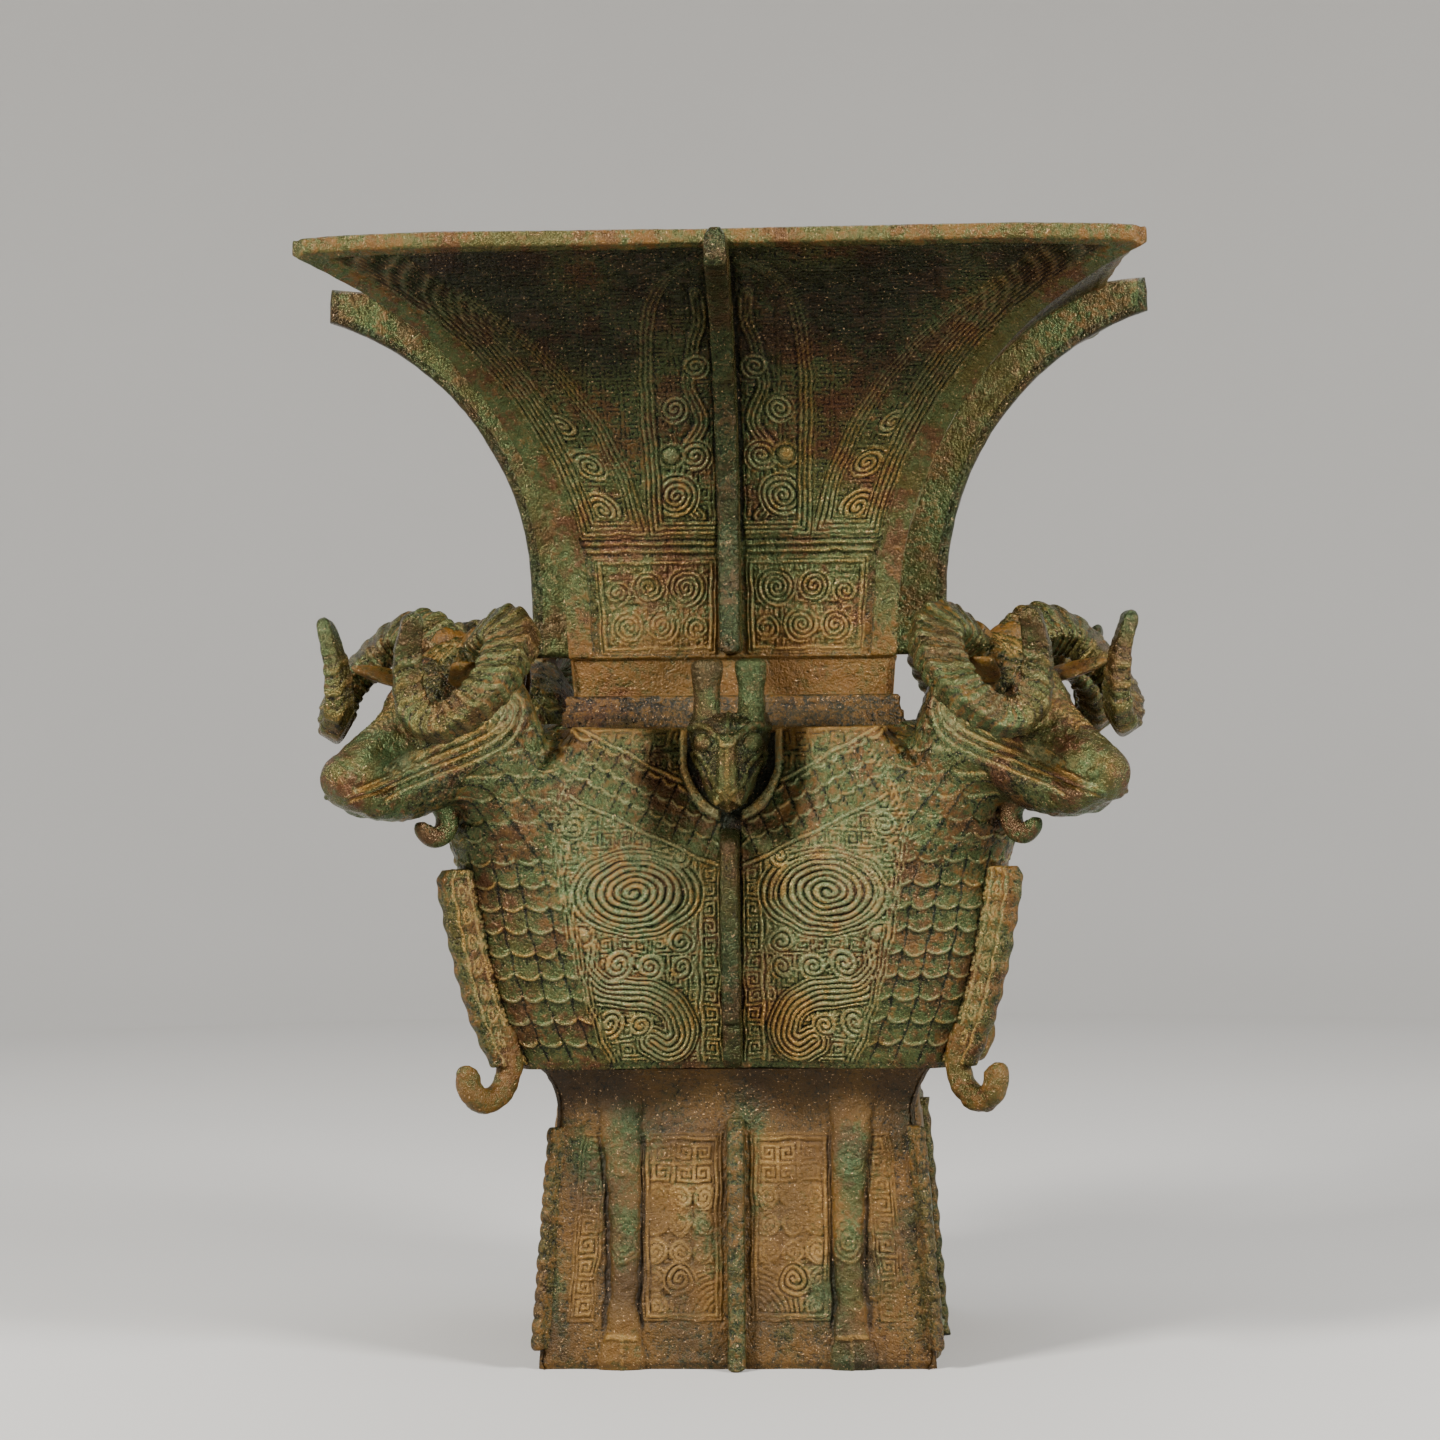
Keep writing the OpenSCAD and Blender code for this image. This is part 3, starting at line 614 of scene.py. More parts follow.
def neck_ornament(y, along, corner):
    """Ornament of half a neck face: height of the lines, how deep the field lies, and the corner line."""
    y_true = y
    y, along = shaky(y, along, 61, 0.2)
    corner = corner + y_true - y
    field = inside(7.6 - corner, 0.8) * inside(12.0 - along, 0.8) * inside(along - 152.6, 1.0)
    share = np.clip((along - LEAF_LOW) / (LEAF_TOP - LEAF_LOW), 0.0, 1.0)
    body, leaf = neck_leaf(y, along, share)
    edge, side = neck_side(corner, along, share)
    lines = lay(neck_panel(y, along, corner), body, inside(-leaf))
    ground = inside(LEAF_LOW - along) * inside(leaf) * inside(side)
    lines = lay(lines, leiwen(y, along, 5.2, 1.3) * 0.55, ground)
    lines = lay(lines, edge, inside(-side) * inside(leaf))
    sweep = inside(corner - 11.0 - 15.0 * share) * inside(62.0 - along, 8.0) * inside(leaf)
    lines = lay(lines, many_lines(corner - 8.2, 60.0, 1.6), sweep)
    band = line(corner - 6.4, 0.3, 0.5) * inside(14.0 - along) * inside(along - 150.0)
    return lines * field, field, band


print("neck ornament:", len(PANEL_WHORLS) + len(LEAF_SCROLLS) + len(SIDE_SCROLLS), "scrolls on half a face")

# %% [markdown]
# Every neck face is the same, so half a face is worked out and mirrored round the ring. Rows
# follow the curve, and the ornament is a height along the surface's normal. The lining is plain,
# so it has fewer points, and it is joined to the skin at the lip and at the lower edge.

# %% the neck
LIP_ROWS = ((0.5, 120.8, 328.7), (1.4, 121.0, 329.4), (4.2, 121.0, 332.5), (4.6, 120.6, 333.0))
half_s = np.linspace(0.0, 1.0, SIDE_COLS // 2 + 1)
lip_along, lip_half, lip_z = np.array(LIP_ROWS).T
rows = np.concatenate([np.linspace(0.0, NECK_LEN, 330), NECK_LEN + lip_along])
half, height = neck_line(np.minimum(rows, NECK_LEN))
half[-len(LIP_ROWS):] = lip_half
height[-len(LIP_ROWS):] = lip_z
flat_y = half[:, None] * half_s[None, :]
corner = half[:, None] - flat_y
along = np.broadcast_to(rows[:, None], flat_y.shape)
relief, field, band = neck_ornament(flat_y, along, corner)
raise_mm = relief * 0.95 - field * 1.1 - band * 0.35
raise_mm = raise_mm - 1.2 * inside(along - 11.2, 0.8) * (along < NECK_LEN)

outer = ring_of(half, height, SIDE_COLS, MOUTH_HOLLOW)
worn = 0.80 + wobble(outer, (0.22, 34.0, 5))
lift = four_sides(raise_mm) + four_sides(relief) * 0.95 * (worn - 1.0)
outer = lifted(outer, lift + wobble(outer, (0.16, 17.0, 6), (0.07, 5.0, 7)))
outer[..., 2] = np.minimum(outer[..., 2], Z_TOP - 0.05)

pale = np.maximum(1.0 - smooth(corner, 6.6, 8.2), smooth(along, NECK_LEN - 3.2, NECK_LEN - 1.4))
plain = 0.3 * field * (1.0 - smooth(along, 40.0, 56.0)) * (1.0 - np.clip(relief, 0.0, 1.0))
# Painted shade: the sunken field is a little darker, and much darker towards the top, under the overhang of
# the flared mouth.
shade = field * smooth(along, 46.0, 126.0) * 0.85 + 0.1 * field
lip = smooth(along, NECK_LEN - 4.0, NECK_LEN)
bare = np.maximum((0.4 - 0.05 * lip) * (1.0 - field), plain)
masks = {
    "raised": four_sides(0.84 * relief + bare),
    "pale": four_sides(pale * smooth(along, 30.0, 60.0) * 0.6),
    "shade": four_sides(shade) * (0.88 + wobble(outer, (0.22, 28.0, 8))),
    "earth": four_sides(0.5 - 0.5 * smooth(along, 4.0, 36.0) + 0.2 * lip),
}

in_half = [117.0, 116.4]
in_z = [333.0, 331.6]
for turn in np.linspace(FLARE_TURN - 0.035, 0.0, 44):
    in_half.append(FLARE_C - (FLARE_R + WALL) * math.cos(turn))
    in_z.append(Z_FLARE + (FLARE_R + WALL) * math.sin(turn))
in_half += [45.0, 41.2, 40.75, 40.75, 41.0, 44.0, 44.35, 44.35, 48.0]
in_z += [221.0, 219.5, 218.0, 193.0, 192.5, 192.5, 193.0, 201.3, 201.45]
inner = ring_of(in_half, in_z, LINING_COLS, MOUTH_HOLLOW)

neck = Shape()
skin_first = neck.add(outer, True, masks, SKIN_TILE)
# Painted shade: the lining inside the neck is darkened.
lining_first = neck.add(inner, True, {"raised": 0.3, "shade": 0.85, "earth": 0.9}, (0.0, 0.74, 1.0, 0.97))
neck.join(outer, skin_first, lining_first, last_ring(lining_first, inner), (0.0, 0.97, 1.0, 1.0))
obj = neck.piece("neck_casting", "neck", "green_bronze", green_bronze)
print("neck:", len(obj.data.polygons), "faces")

# %% [markdown]
# The belly is the middle casting. Its section is a soft square whose corners swell into the
# chests of the four rams, and its shoulder runs steeply up to a collar for the neck. Two short
# tables give the outline of face and chest by height, and a formula rounds the section between.

# %% belly outline
Z_BELLY, BELLY_H, BELLY_HALF, CHEST_HALF = 90.0, 102.0, 70.0, 82.0
SEAT_A, SEAT_Z = 99.7, 178.5
SHARES = np.array([-0.07, 0.0, 0.07, 0.2, 0.34, 0.49, 0.59, 0.69, 0.78, 0.88, 1.0, 1.12])
FACE_SHARES = np.array([0.842, 0.871, 0.9, 0.943, 0.979, 1.0, 1.0, 0.976, 0.921, 0.85, 0.757, 0.664])
CHEST_SHARES = np.array([0.726, 0.763, 0.8, 0.856, 0.894, 0.926, 0.946, 0.97, 1.0, 1.0, 0.976, 0.952])
# How far the soft square reaches at its corners, as a share of its half width.
SOFT_CORNER = 1.29684


def eased(share, values):
    """Reads a table of the belly's outline with its kinks smoothed away."""
    return np.mean([np.interp(share + o, SHARES, values) for o in np.linspace(-0.06, 0.06, 9)], axis=0)


def belly_radius(turn, share, wall=0.0):
    """Distance from the axis at an angle in radians and a share of the belly's height."""
    m = BELLY_HALF * eased(share, FACE_SHARES) - wall
    d = CHEST_HALF * eased(share, CHEST_SHARES) - wall * 1.2
    soft = (np.abs(np.cos(turn)) ** 8 + np.abs(np.sin(turn)) ** 8) ** -0.125
    swell = math.sqrt(2.0) * d / (m * SOFT_CORNER) - 1.0
    return m * soft * (1.0 + swell * np.abs(np.sin(2.0 * turn)) ** 3)


def kept_back(radius, turn, height, behind):
    """Rounds the chest off where the sloping seat of the ram's neck cuts it."""
    limit = (SEAT_A + SEAT_Z - behind - height) / np.cos(math.pi / 4.0 - np.abs(turn))
    over = smooth(radius - limit, -9.0, 9.0)
    return radius - over * np.clip(radius - limit + 4.0, 0.0, None)


def belly_skin(turn, height):
    """Distance of the belly's outside from the axis at an angle and a height."""
    return kept_back(belly_radius(turn, (height - Z_BELLY) / BELLY_H), turn, height, 1.0)


print("belly outline:", len(SHARES), "heights")

# %% [markdown]
# Scales cover the chests and the dragon bodies that climb the shoulder. A large whorl, a band
# with an S bend and scrolls fill the faces, over square spirals. The dragons' places follow a
# slope, so their scales are worked out in lengths along and across it.

# %% belly ornament
BELLY_BAND = ((44.5, 127), (44, 120), (39, 115), (31, 113.6), (22.5, 112.4), (16.5, 107), (15.4, 100),
              (19.5, 96.6), (24, 98.6))
BELLY_SCROLLS = (
    (14.6, 128.5, 4.2), (14.4, 120.5, 3.6), (36.5, 104.6, 4.6), (45.5, 108.5, 4.4), (27.5, 103.6, 3.8),
    (24.0, 121.5, 4.2), (33.5, 122.0, 4.4), (52.0, 117.5, 3.8), (52.0, 155.5, 4.4), (47.5, 163.0, 4.2),
    (42.0, 98.4, 3.8), (13.8, 153.5, 3.2), (53.0, 145.5, 3.6))
SLOPE_SIN, SLOPE_COS = 0.408, 0.913


def belly_face(across, z):
    """Lines on half a face: square spirals, an upright strip, the large whorl, the band and scrolls."""
    lines = leiwen(across - 3.4, z - 94.0, 5.2, 1.3) * 0.95
    upright = np.maximum(line(across - 8.8), line(across - 10.4))
    lines = lay(lines, upright, inside(np.abs(across - 9.6) - 1.4))
    wide, high = (across - 28.5) / 1.5, z - 143.2
    big = np.hypot(wide, high)
    lines = lay(lines, line(spiral(wide, high, 1.75), 0.42, 0.36) * 1.15, inside(big - 10.6))
    lines = lay(lines, many_lines(big - 11.2, 2.9, 1.3) * 1.1, inside(np.abs(big - 12.2) - 1.7))
    low = track(across, z, BELLY_BAND)
    lines = lay(lines, many_lines(low, 4.9, 1.6) * 1.25, inside(low - 5.4))
    lines = scrolls(lines, across, z, BELLY_SCROLLS, 1.7, 0.45, 0.4)
    return boss(lines, across - 45.0, z - 131.0, 2.6)


def belly_ornament(across, z, corner):
    """Ornament of half a belly face: lengths across from its middle and from the corner, z up."""
    across_true, z_true = across, z
    across, z = shaky(across, z, 63, 0.3)
    corner = corner + across_true - across
    slope = -SLOPE_SIN * (across - 6.0) + SLOPE_COS * (z - 162.0)
    upper = leiwen(across - 13.0, z - 172.0, 6.4, 1.45) * 0.75
    lines = lay(belly_face(across, z), upper, inside(9.0 - slope))
    dragon = scales(SLOPE_COS * across + SLOPE_SIN * z, slope + 8.1, 5.4, 5.2)
    border = many_lines(np.abs(np.abs(slope) - 9.0), 1.7, 1.5)
    dragon = lay(dragon, border, inside(8.0 - np.abs(slope)))
    lines = lay(lines, dragon * 1.25, inside(np.abs(slope) - 10.0))
    top = inside(z - 186.0, 3.0)
    chest_edge = np.abs(corner - 29.2)
    lines = lay(lines, many_lines(chest_edge, 1.7, 1.5), inside(chest_edge - 2.0) * top)
    lines = lay(lines, scales(corner - 2.6, z - 92.0, 7.2, 6.8), inside(corner - 27.4) * top)
    ring = (np.hypot(across / 14.6, (z - 188.0) / 22.0) - 1.0) * 14.6
    lines = lay(lines, 1.7 * line(ring - 0.6, 0.8, 0.6), inside(ring - 2.2) * inside(z - 190.5))
    lines = lines * (1.0 - inside(across - 3.2))
    return lines * inside(92.4 - z_true) + 0.3 * inside(z_true - 92.4)


print("belly ornament:", len(BELLY_SCROLLS), "scrolls on half a face")

# %% [markdown]
# The belly is built like the neck, in rings about the axis, with the ornament as a height. The
# moulded collar is a ring on top of it. Inside it is hollow with a flat floor, and a square plug
# under it sits in the foot, so its lining and its underside are joined to the skin apart.

# %% the belly
BELLY_ROWS = 272
COLLAR = ((52.4, 191.8), (51.9, 192.4), (51.9, 193.6), (51.4, 194.0), (51.4, 196.4), (50.6, 196.9),
          (50.2, 198.6), (50.5, 200.6), (49.9, 201.3), (49.0, 201.45))
z_rows = np.linspace(Z_BELLY + 0.3, Z_COLLAR - 0.4, BELLY_ROWS)
turn_s = math.pi / 4.0 * (half_s * 1.2 - 0.2 * half_s ** 3)
height = np.broadcast_to(z_rows[:, None], (BELLY_ROWS, len(half_s)))
radius = belly_skin(turn_s[None, :], height)
skin = np.stack([radius * np.cos(turn_s), radius * np.sin(turn_s), height], axis=-1)
step = np.linalg.norm(np.diff(skin[..., :2], axis=1), axis=-1)
across = np.concatenate([np.zeros((BELLY_ROWS, 1)), np.cumsum(step, axis=1)], axis=1)
corner = across[:, -1:] - across
relief = belly_ornament(across, height, corner)

mirrored = skin[:, :0:-1] * np.array([1.0, -1.0, 1.0])
outer = four_turned(np.concatenate([mirrored, skin[:, :-1]], axis=1))
worn = 0.80 + wobble(outer, (0.22, 30.0, 15))
rough = wobble(outer, (0.16, 19.0, 16), (0.07, 5.0, 17))
outer = lifted(outer, four_sides(relief) * 1.05 * worn - 0.45 + rough)
collar_half, collar_z = np.array(COLLAR).T
bead = ring_of(collar_half, collar_z, SIDE_COLS)
bead = lifted(bead, wobble(bead, (0.12, 14.0, 18)))
outer = np.concatenate([outer, bead])

chest = np.concatenate([four_sides(1.0 - smooth(corner, 8.0, 30.0)), np.zeros(bead.shape[:2])])
earth = 0.7 * smooth(outer[..., 2], 184.0, 198.0) + 0.4 * chest * smooth(outer[..., 2], 160.0, 182.0)
masks = {
    "raised": np.concatenate([four_sides(relief), np.full(bead.shape[:2], 0.2)]),
    "earth": earth,
    "shade": smooth(waves(outer, 60.0, 19), -0.2, 1.2) * 0.25 * (1.0 - earth),
}

bore = ring_of([44.6, 44.5, 44.5], [201.45, 201.0, 189.6], LINING_COLS)
turn_c = np.linspace(-math.pi / 4.0, math.pi / 4.0, LINING_COLS + 1)[:-1]
hollow = []
for z in np.linspace(187.0, 95.4, 24):
    level = np.full(LINING_COLS, z)
    r = kept_back(belly_radius(turn_c, (z - Z_BELLY) / BELLY_H, WALL), turn_c, level, 12.2)
    hollow.append(four_turned(np.stack([r * np.cos(turn_c), r * np.sin(turn_c), level], axis=-1)))
floor = [hollow[-1] * [k, k, 1.0] + [0.0, 0.0, -0.4] for k in (0.97, 0.6, 0.25)]
inner = np.concatenate([bore, np.array(hollow), np.array(floor)])
under = ring_of([1.0, 30.0, 49.4, 49.85, 49.85, 50.5], [85.0, 85.0, 85.0, 85.4, 89.8, 90.0], LINING_COLS)

belly = Shape()
skin_first = belly.add(outer, True, masks, SKIN_TILE)
# Painted shade: the lining inside the belly and the underside under it are darkened.
lining_first = belly.add(inner, True, {"raised": 0.3, "shade": 0.9, "earth": 0.3}, (0.0, 0.74, 1.0, 0.88))
belly.cap(last_ring(lining_first, inner), inner.shape[1], False, (0.0, 0.88, 0.1, 0.9))
under_first = belly.add(under, True, {"raised": 0.3, "shade": 0.6, "earth": 0.4}, (0.0, 0.9, 1.0, 0.96))
belly.cap(under_first, under.shape[1], True, (0.2, 0.88, 0.3, 0.9))
belly.join(outer, skin_first, lining_first, last_ring(under_first, under), (0.0, 0.96, 1.0, 1.0))
obj = belly.piece("belly_casting", "belly", "green_bronze", green_bronze)
print("belly:", len(obj.data.polygons), "faces")

# %% [markdown]
# The foot is the lowest casting, a splayed square tube that the vessel stands on. Each face
# shows two ram legs in relief, a panel of ornament between them and narrow strips outside. The
# legs are broad heights with a hoof at the lower end, and the ornament is laid on as fine ones.

# %% foot ornament
FOOT_BOTTOM, FOOT_WAIST, FOOT_TOP, Z_WAIST = 60.0, 54.0, 59.0, 76.0
CURVE_H, CURVE_RUN = Z_BELLY - Z_WAIST, FOOT_TOP - FOOT_WAIST
CURVE_R = (CURVE_H ** 2 + CURVE_RUN ** 2) / (2.0 * CURVE_RUN)
LEG_OFFSET, PANEL_BOTTOM, PANEL_TOP = 34.0, 14.5, 70.0
LEG_WIDTHS = ((0.0, 6.8), (5.0, 6.6), (9.0, 5.8), (14.0, 4.6), (22.0, 4.1), (40.0, 4.3), (62.0, 5.2),
              (80.0, 6.6), (90.0, 7.0))
LEG_BENDS = ((0.0, 0.6), (20.0, 0.0), (45.0, -0.6), (90.0, 1.2))


def foot_half(z):
    """Half width of the foot at a height."""
    low = FOOT_BOTTOM + (FOOT_WAIST - FOOT_BOTTOM) * z / Z_WAIST
    high = FOOT_WAIST + CURVE_R - np.sqrt(np.clip(CURVE_R ** 2 - (z - Z_WAIST) ** 2, 0.0, None))
    return np.where(z < Z_WAIST, low, high)


def foot_panel(y, z):
    """Half of the panel between the legs: square spirals, whorls, a fan and a scroll in a frame."""
    panel = within(y, 4.4, 28.2, z, PANEL_BOTTOM, PANEL_TOP)
    mids = np.maximum(whorls(y - 6.0, z - 31.0, 7.2, 8.0, 1.45), leiwen(y, z, 4.4, 1.3) * 0.6)
    lines = lay(leiwen(y - 6.6, z - 55.2, 6.0, 1.45), mids, inside(z - 55.0))
    fan = np.hypot(y - 5.0, z - 16.0)
    lines = lay(lines, many_lines(fan, 14.0, 1.7), inside(fan - 14.4))
    lines = scrolls(lines, y, z, ((16.8, 26.5, 5.2),), 1.7)
    return lay(lines, many_lines(panel, 2.2, 1.5), inside(panel - 2.5)) * inside(-panel)


def foot_strip(corner, z):
    """Strip of square spirals beside a corner, and how far inside it a point lies."""
    strip = within(corner, 8.2, 16.2, z, PANEL_BOTTOM, PANEL_TOP)
    lines = leiwen(corner - 9.2, z - 15.6, 6.0, 1.5)
    return lay(lines, many_lines(strip, 0.8, 1.5), inside(strip - 1.0)), strip


def foot_ornament(y, z, corner):
    """Ornament of half a foot face, the height of its leg and the grooves beside the leg."""
    y_true = y
    y, z = shaky(y, z, 65, 0.3)
    corner = corner + y_true - y
    wide = np.interp(z, *zip(*LEG_WIDTHS))
    side = y - LEG_OFFSET - np.interp(z, *zip(*LEG_BENDS))
    leg = dome(side / wide) ** 0.8 * (1.0 - smooth(z, 70.0, 88.0))
    hoof = line(z - 9.6, 0.5, 0.7) + 0.7 * line(side / wide, 0.06, 0.1) * inside(z - 9.0)
    groove = line(np.abs(side) - wide - 0.9, 0.5, 0.5) * inside(z - 70.0, 4.0) * inside(12.0 - z, 3.0)
    edge, strip = foot_strip(corner, z)
    lines = lay(foot_panel(y, z), edge, inside(-strip))
    knee = many_lines(np.hypot(side, (z - 38.0) / 1.4), 5.2, 1.5)
    thigh = line(spiral(side, z - 62.0, 1.6)) * inside(np.hypot(side, z - 62.0) - 5.0)
    on_leg = (knee + 0.8 * thigh) * 0.55 + hoof
    return lines * (1.0 - smooth(leg, 0.0, 0.1)) + on_leg * smooth(leg, 0.25, 0.6), leg, groove


print("foot ornament ready")

# %% [markdown]
# The foot's skin and lining are rings like those of the neck. Its lower edge has to lie flat on
# the floor, so the lowest ring is set to height zero after the relief has moved the points.

# %% the foot
FOOT_ROWS = 224
z_rows = np.linspace(0.0, 89.7, FOOT_ROWS)
half = foot_half(z_rows)
flat_y = half[:, None] * half_s[None, :]
corner = half[:, None] - flat_y
height = np.broadcast_to(z_rows[:, None], flat_y.shape)
relief, leg, groove = foot_ornament(flat_y, height, corner)

outer = ring_of(half, z_rows, SIDE_COLS)
worn = 0.74 + wobble(outer, (0.26, 16.0, 25))
lift = four_sides(leg * 2.4 - groove * 0.5) + four_sides(relief) * 0.85 * worn - 0.4
lift = lift + wobble(outer, (0.22, 15.0, 26), (0.12, 3.6, 27))
lift = lift - four_sides(line(corner, 0.3, 2.2) + 1.2 * (1.0 - smooth(height, 0.0, 2.6)))
outer = lifted(outer, lift)
outer[0, :, 2] = 0.0
outer[..., 2] = np.clip(outer[..., 2], 0.0, 89.8)

z = outer[..., 2]
# Painted shadow on the top of the foot under the overhanging belly, and painted shade in the grooves beside
# the legs.
belly_shadow = 0.2 * smooth(z + wobble(outer, (6.0, 20.0, 29)), 62.0, 82.0)
masks = {
    "raised": np.clip(four_sides(relief) * worn * 0.6 + four_sides(leg) * 0.14 + 0.36, 0.0, 1.0),
    "earth": 0.40 + 0.3 * smooth(z, 60.0, 86.0) - 0.45 * four_sides(leg) + wobble(outer, (0.4, 22.0, 28)),
    "shade": 0.44 + wobble(outer, (0.16, 26.0, 31)) + np.maximum(four_sides(groove) * 0.4, belly_shadow),
}

in_z = np.array([89.8, 89.4, 76.0, 74.0, 73.6] + list(np.linspace(70.0, 1.0, 12)) + [0.0])
in_half = np.concatenate([[51.0, 50.0, 50.0, 50.0], foot_half(in_z[4:]) - WALL])
inner = ring_of(in_half, in_z, LINING_COLS)

foot = Shape()
skin_first = foot.add(outer, True, masks, SKIN_TILE)
# Painted shade: the lining inside the foot is darkened.
lining_first = foot.add(inner, True, {"raised": 0.3, "shade": 0.7, "earth": 0.6}, (0.0, 0.74, 1.0, 0.97))
foot.join(outer, skin_first, lining_first, last_ring(lining_first, inner), (0.0, 0.97, 1.0, 1.0))
obj = foot.piece("foot_casting", "foot", "foot_bronze", foot_bronze)
print("foot:", len(obj.data.polygons), "faces")

# %% [markdown]
# Plate flanges stand on every face and corner. Such a plate is a strip between an inner edge in
# the casting and an outer edge in the air, so it is swept along its length with a section that
# is rounded at the outer edge. The edges are rubbed dark, the flanks keep green and earth.


# %% flange helper
CORNERS = {"front_right": -45, "back_right": 45, "back_left": 135, "front_left": -135}
SIDES = {"front": -90, "right": 0, "back": 90, "left": 180}
EDGE_ROUND, FLANK_COLS, ROOT_DEPTH = 1.5, 26, 2.0


def strip(inner, outer, thick):
    """Grid of a plate in the plane y = 0, out and back over its flanks, and each column's share outward."""
    wide = np.linalg.norm(outer - inner, axis=1)
    half_loop = [(s, 0.0, 1.0) for s in np.linspace(0.0, 1.0, FLANK_COLS)]
    for turn in np.linspace(0.0, math.pi / 2.0, 5)[1:]:
        half_loop.append((1.0, math.sin(turn), 0.38 + 0.62 * math.cos(turn)))
    half_loop[-1] = (1.0, 1.0, 0.36)
    loop = half_loop + [(s, o, -w) for s, o, w in half_loop[::-1]]
    grid = np.zeros((len(inner), len(loop), 3))
    for k, (s, o, w) in enumerate(loop):
        reach = s * np.clip(wide - EDGE_ROUND, 0.05, None) + o * EDGE_ROUND
        spot = inner + (outer - inner) * (reach / wide)[:, None]
        grid[:, k, 0], grid[:, k, 2] = spot[:, 0], spot[:, 1]
        grid[:, k, 1] = w * thick * 0.5
    return grid, np.array([s for s, o, w in loop])


def edge_line(reach, z):
    """Stations of a plate's edge from its distances from the axis and its heights."""
    return np.stack([reach, z], axis=1)


def past_ends(points):
    """Stations of a plate's edge with one more a little past each end."""
    p = np.asarray(points, float)
    return np.vstack([p[0] + (p[0] - p[1]) * 0.6, p, p[-1] + (p[-1] - p[-2]) * 0.6])


def flange(angle, inner, outer, thick, seed, relief=None, tone=None):
    """Makes one plate in the plane of a side or corner, thinner at its ends so that they look round."""
    inner, outer = past_ends(inner), past_ends(outer)
    thick = thick * np.array([0.55, 0.9] + [1.0] * (len(inner) - 4) + [0.9, 0.55])
    grid, ends = strip(inner, outer, thick)
    rub = (ends >= 0.88) * 1.0
    lines = np.zeros(grid.shape[:2])
    if relief is not None:
        lines = relief(grid, ends)
        lean = np.where(np.arange(len(ends)) < len(ends) // 2, 1.0, -1.0)
        grid[..., 1] += lines * lean * 0.45
    grid = turned(grid, angle)
    grid = lifted(grid, wobble(grid, (-0.10, 9.0, seed), (-0.05, 3.5, seed + 1)))
    masks = {"raised": np.clip(lines + 0.3, 0.0, 1.0), "shade": rub * 0.6,
             "earth": 0.15 * (1.0 - ends) - 0.1, "pale": 0.7 * (1.0 - rub)}
    masks.update(tone or {})
    masks = {key: np.broadcast_to(val, lines.shape)[:, ::-1] for key, val in masks.items()}
    shape = Shape()
    shape.add(grid[:, ::-1], True, masks, (0.0, 0.0, 1.0, 0.9), True)
    return shape


def plates(kind, look, places, slot, finish, inner, outer, thick, seed, tone=None):
    """Makes the plates of one kind, one in each place."""
    for k, (place, angle) in enumerate(places.items()):
        node = kind + "_" + place
        shape = flange(angle, inner, outer, thick, seed + k, None, tone)
        shape.piece(node + "_" + look, node, slot, finish)


print("flange helper for", len(SIDES), "sides and", len(CORNERS), "corners")

# %% [markdown]
# The neck flanges follow the trumpet of the neck at a growing distance and end in a square block
# beside the lip. The belly flanges are straight ribs with a nick near the lower end.

# %% neck and belly flanges
EDGE_OUT, EDGE_LOW, EDGE_RISE, EDGE_RUN = 65.5, 234.0, 87.0, 63.5
EDGE_R = (EDGE_RISE ** 2 + EDGE_RUN ** 2) / (2.0 * EDGE_RUN)
low_z = np.linspace(214.6, 233.5, 22)
neck_in = [(NECK_WAIST - ROOT_DEPTH, z) for z in low_z]
neck_out = [(EDGE_OUT, z) for z in low_z]
first_turn = math.asin((EDGE_LOW - Z_FLARE) / FLARE_R)
for k in np.linspace(0.0, 1.0, 110):
    t_in = first_turn + k * (FLARE_TURN - first_turn)
    t_out = k * math.asin(EDGE_RISE / EDGE_R)
    z_in = Z_FLARE + FLARE_R * math.sin(t_in)
    deep = ROOT_DEPTH + MOUTH_HOLLOW * float(smooth(z_in, Z_HOLLOW, Z_TOP))
    neck_in.append((FLARE_C - FLARE_R * math.cos(t_in) - deep, z_in))
    neck_out.append((EDGE_OUT + EDGE_R - EDGE_R * math.cos(t_out), EDGE_LOW + EDGE_R * math.sin(t_out)))
neck_in += [(114.5, 329.2), (114.5, 329.8), (114.5, 330.0)]
neck_out += [(128.9, 323.6), (128.9, 327.0), (128.6, 329.8)]
plates("neck_flange", "plate", SIDES, "dark_bronze", dark_bronze, neck_in, neck_out, 6.3, 100)

z_line = np.linspace(91.6, 161.6, 120)
face = BELLY_HALF * eased((z_line - Z_BELLY) / BELLY_H, FACE_SHARES)
reach = 12.6 - 8.0 * smooth(z_line, 156.0, 162.4) ** 2 - 3.0 * (1.0 - smooth(z_line, 90.0, 94.5))
reach = reach - 1.6 * line(z_line - 104.0, 0.3, 0.6)
belly_in, belly_out = edge_line(face - ROOT_DEPTH, z_line), edge_line(face + reach, z_line)
plates("belly_flange", "plate", SIDES, "dark_bronze", dark_bronze, belly_in, belly_out, 5.4, 120)
print("neck and belly flanges: 8")

# %% [markdown]
# A chest flange runs down the corner between two rows of scales and ends in a hook that curls
# outward. The hook is round in section, so it is swept as a tube along a curve. The same sweep
# later makes the horns and the beard.


# %% tube helper
SIDEWAYS = (0.0, 1.0, 0.0)


def curve(points, count):
    """Points spread evenly along a smooth curve through the given ones."""
    ends = with_ends(points)
    knots = len(ends) - 2
    t = np.linspace(0.0, knots - 1.0, 60 * knots)
    i = np.minimum(t.astype(int), knots - 2)
    fine = between(ends[i], ends[i + 1], ends[i + 2], ends[i + 3], (t - i)[:, None])
    run = np.concatenate([[0.0], np.cumsum(np.linalg.norm(np.diff(fine, axis=0), axis=1))])
    even = np.linspace(0.0, run[-1], count)
    return np.stack([np.interp(even, run, column) for column in fine.T], axis=1)


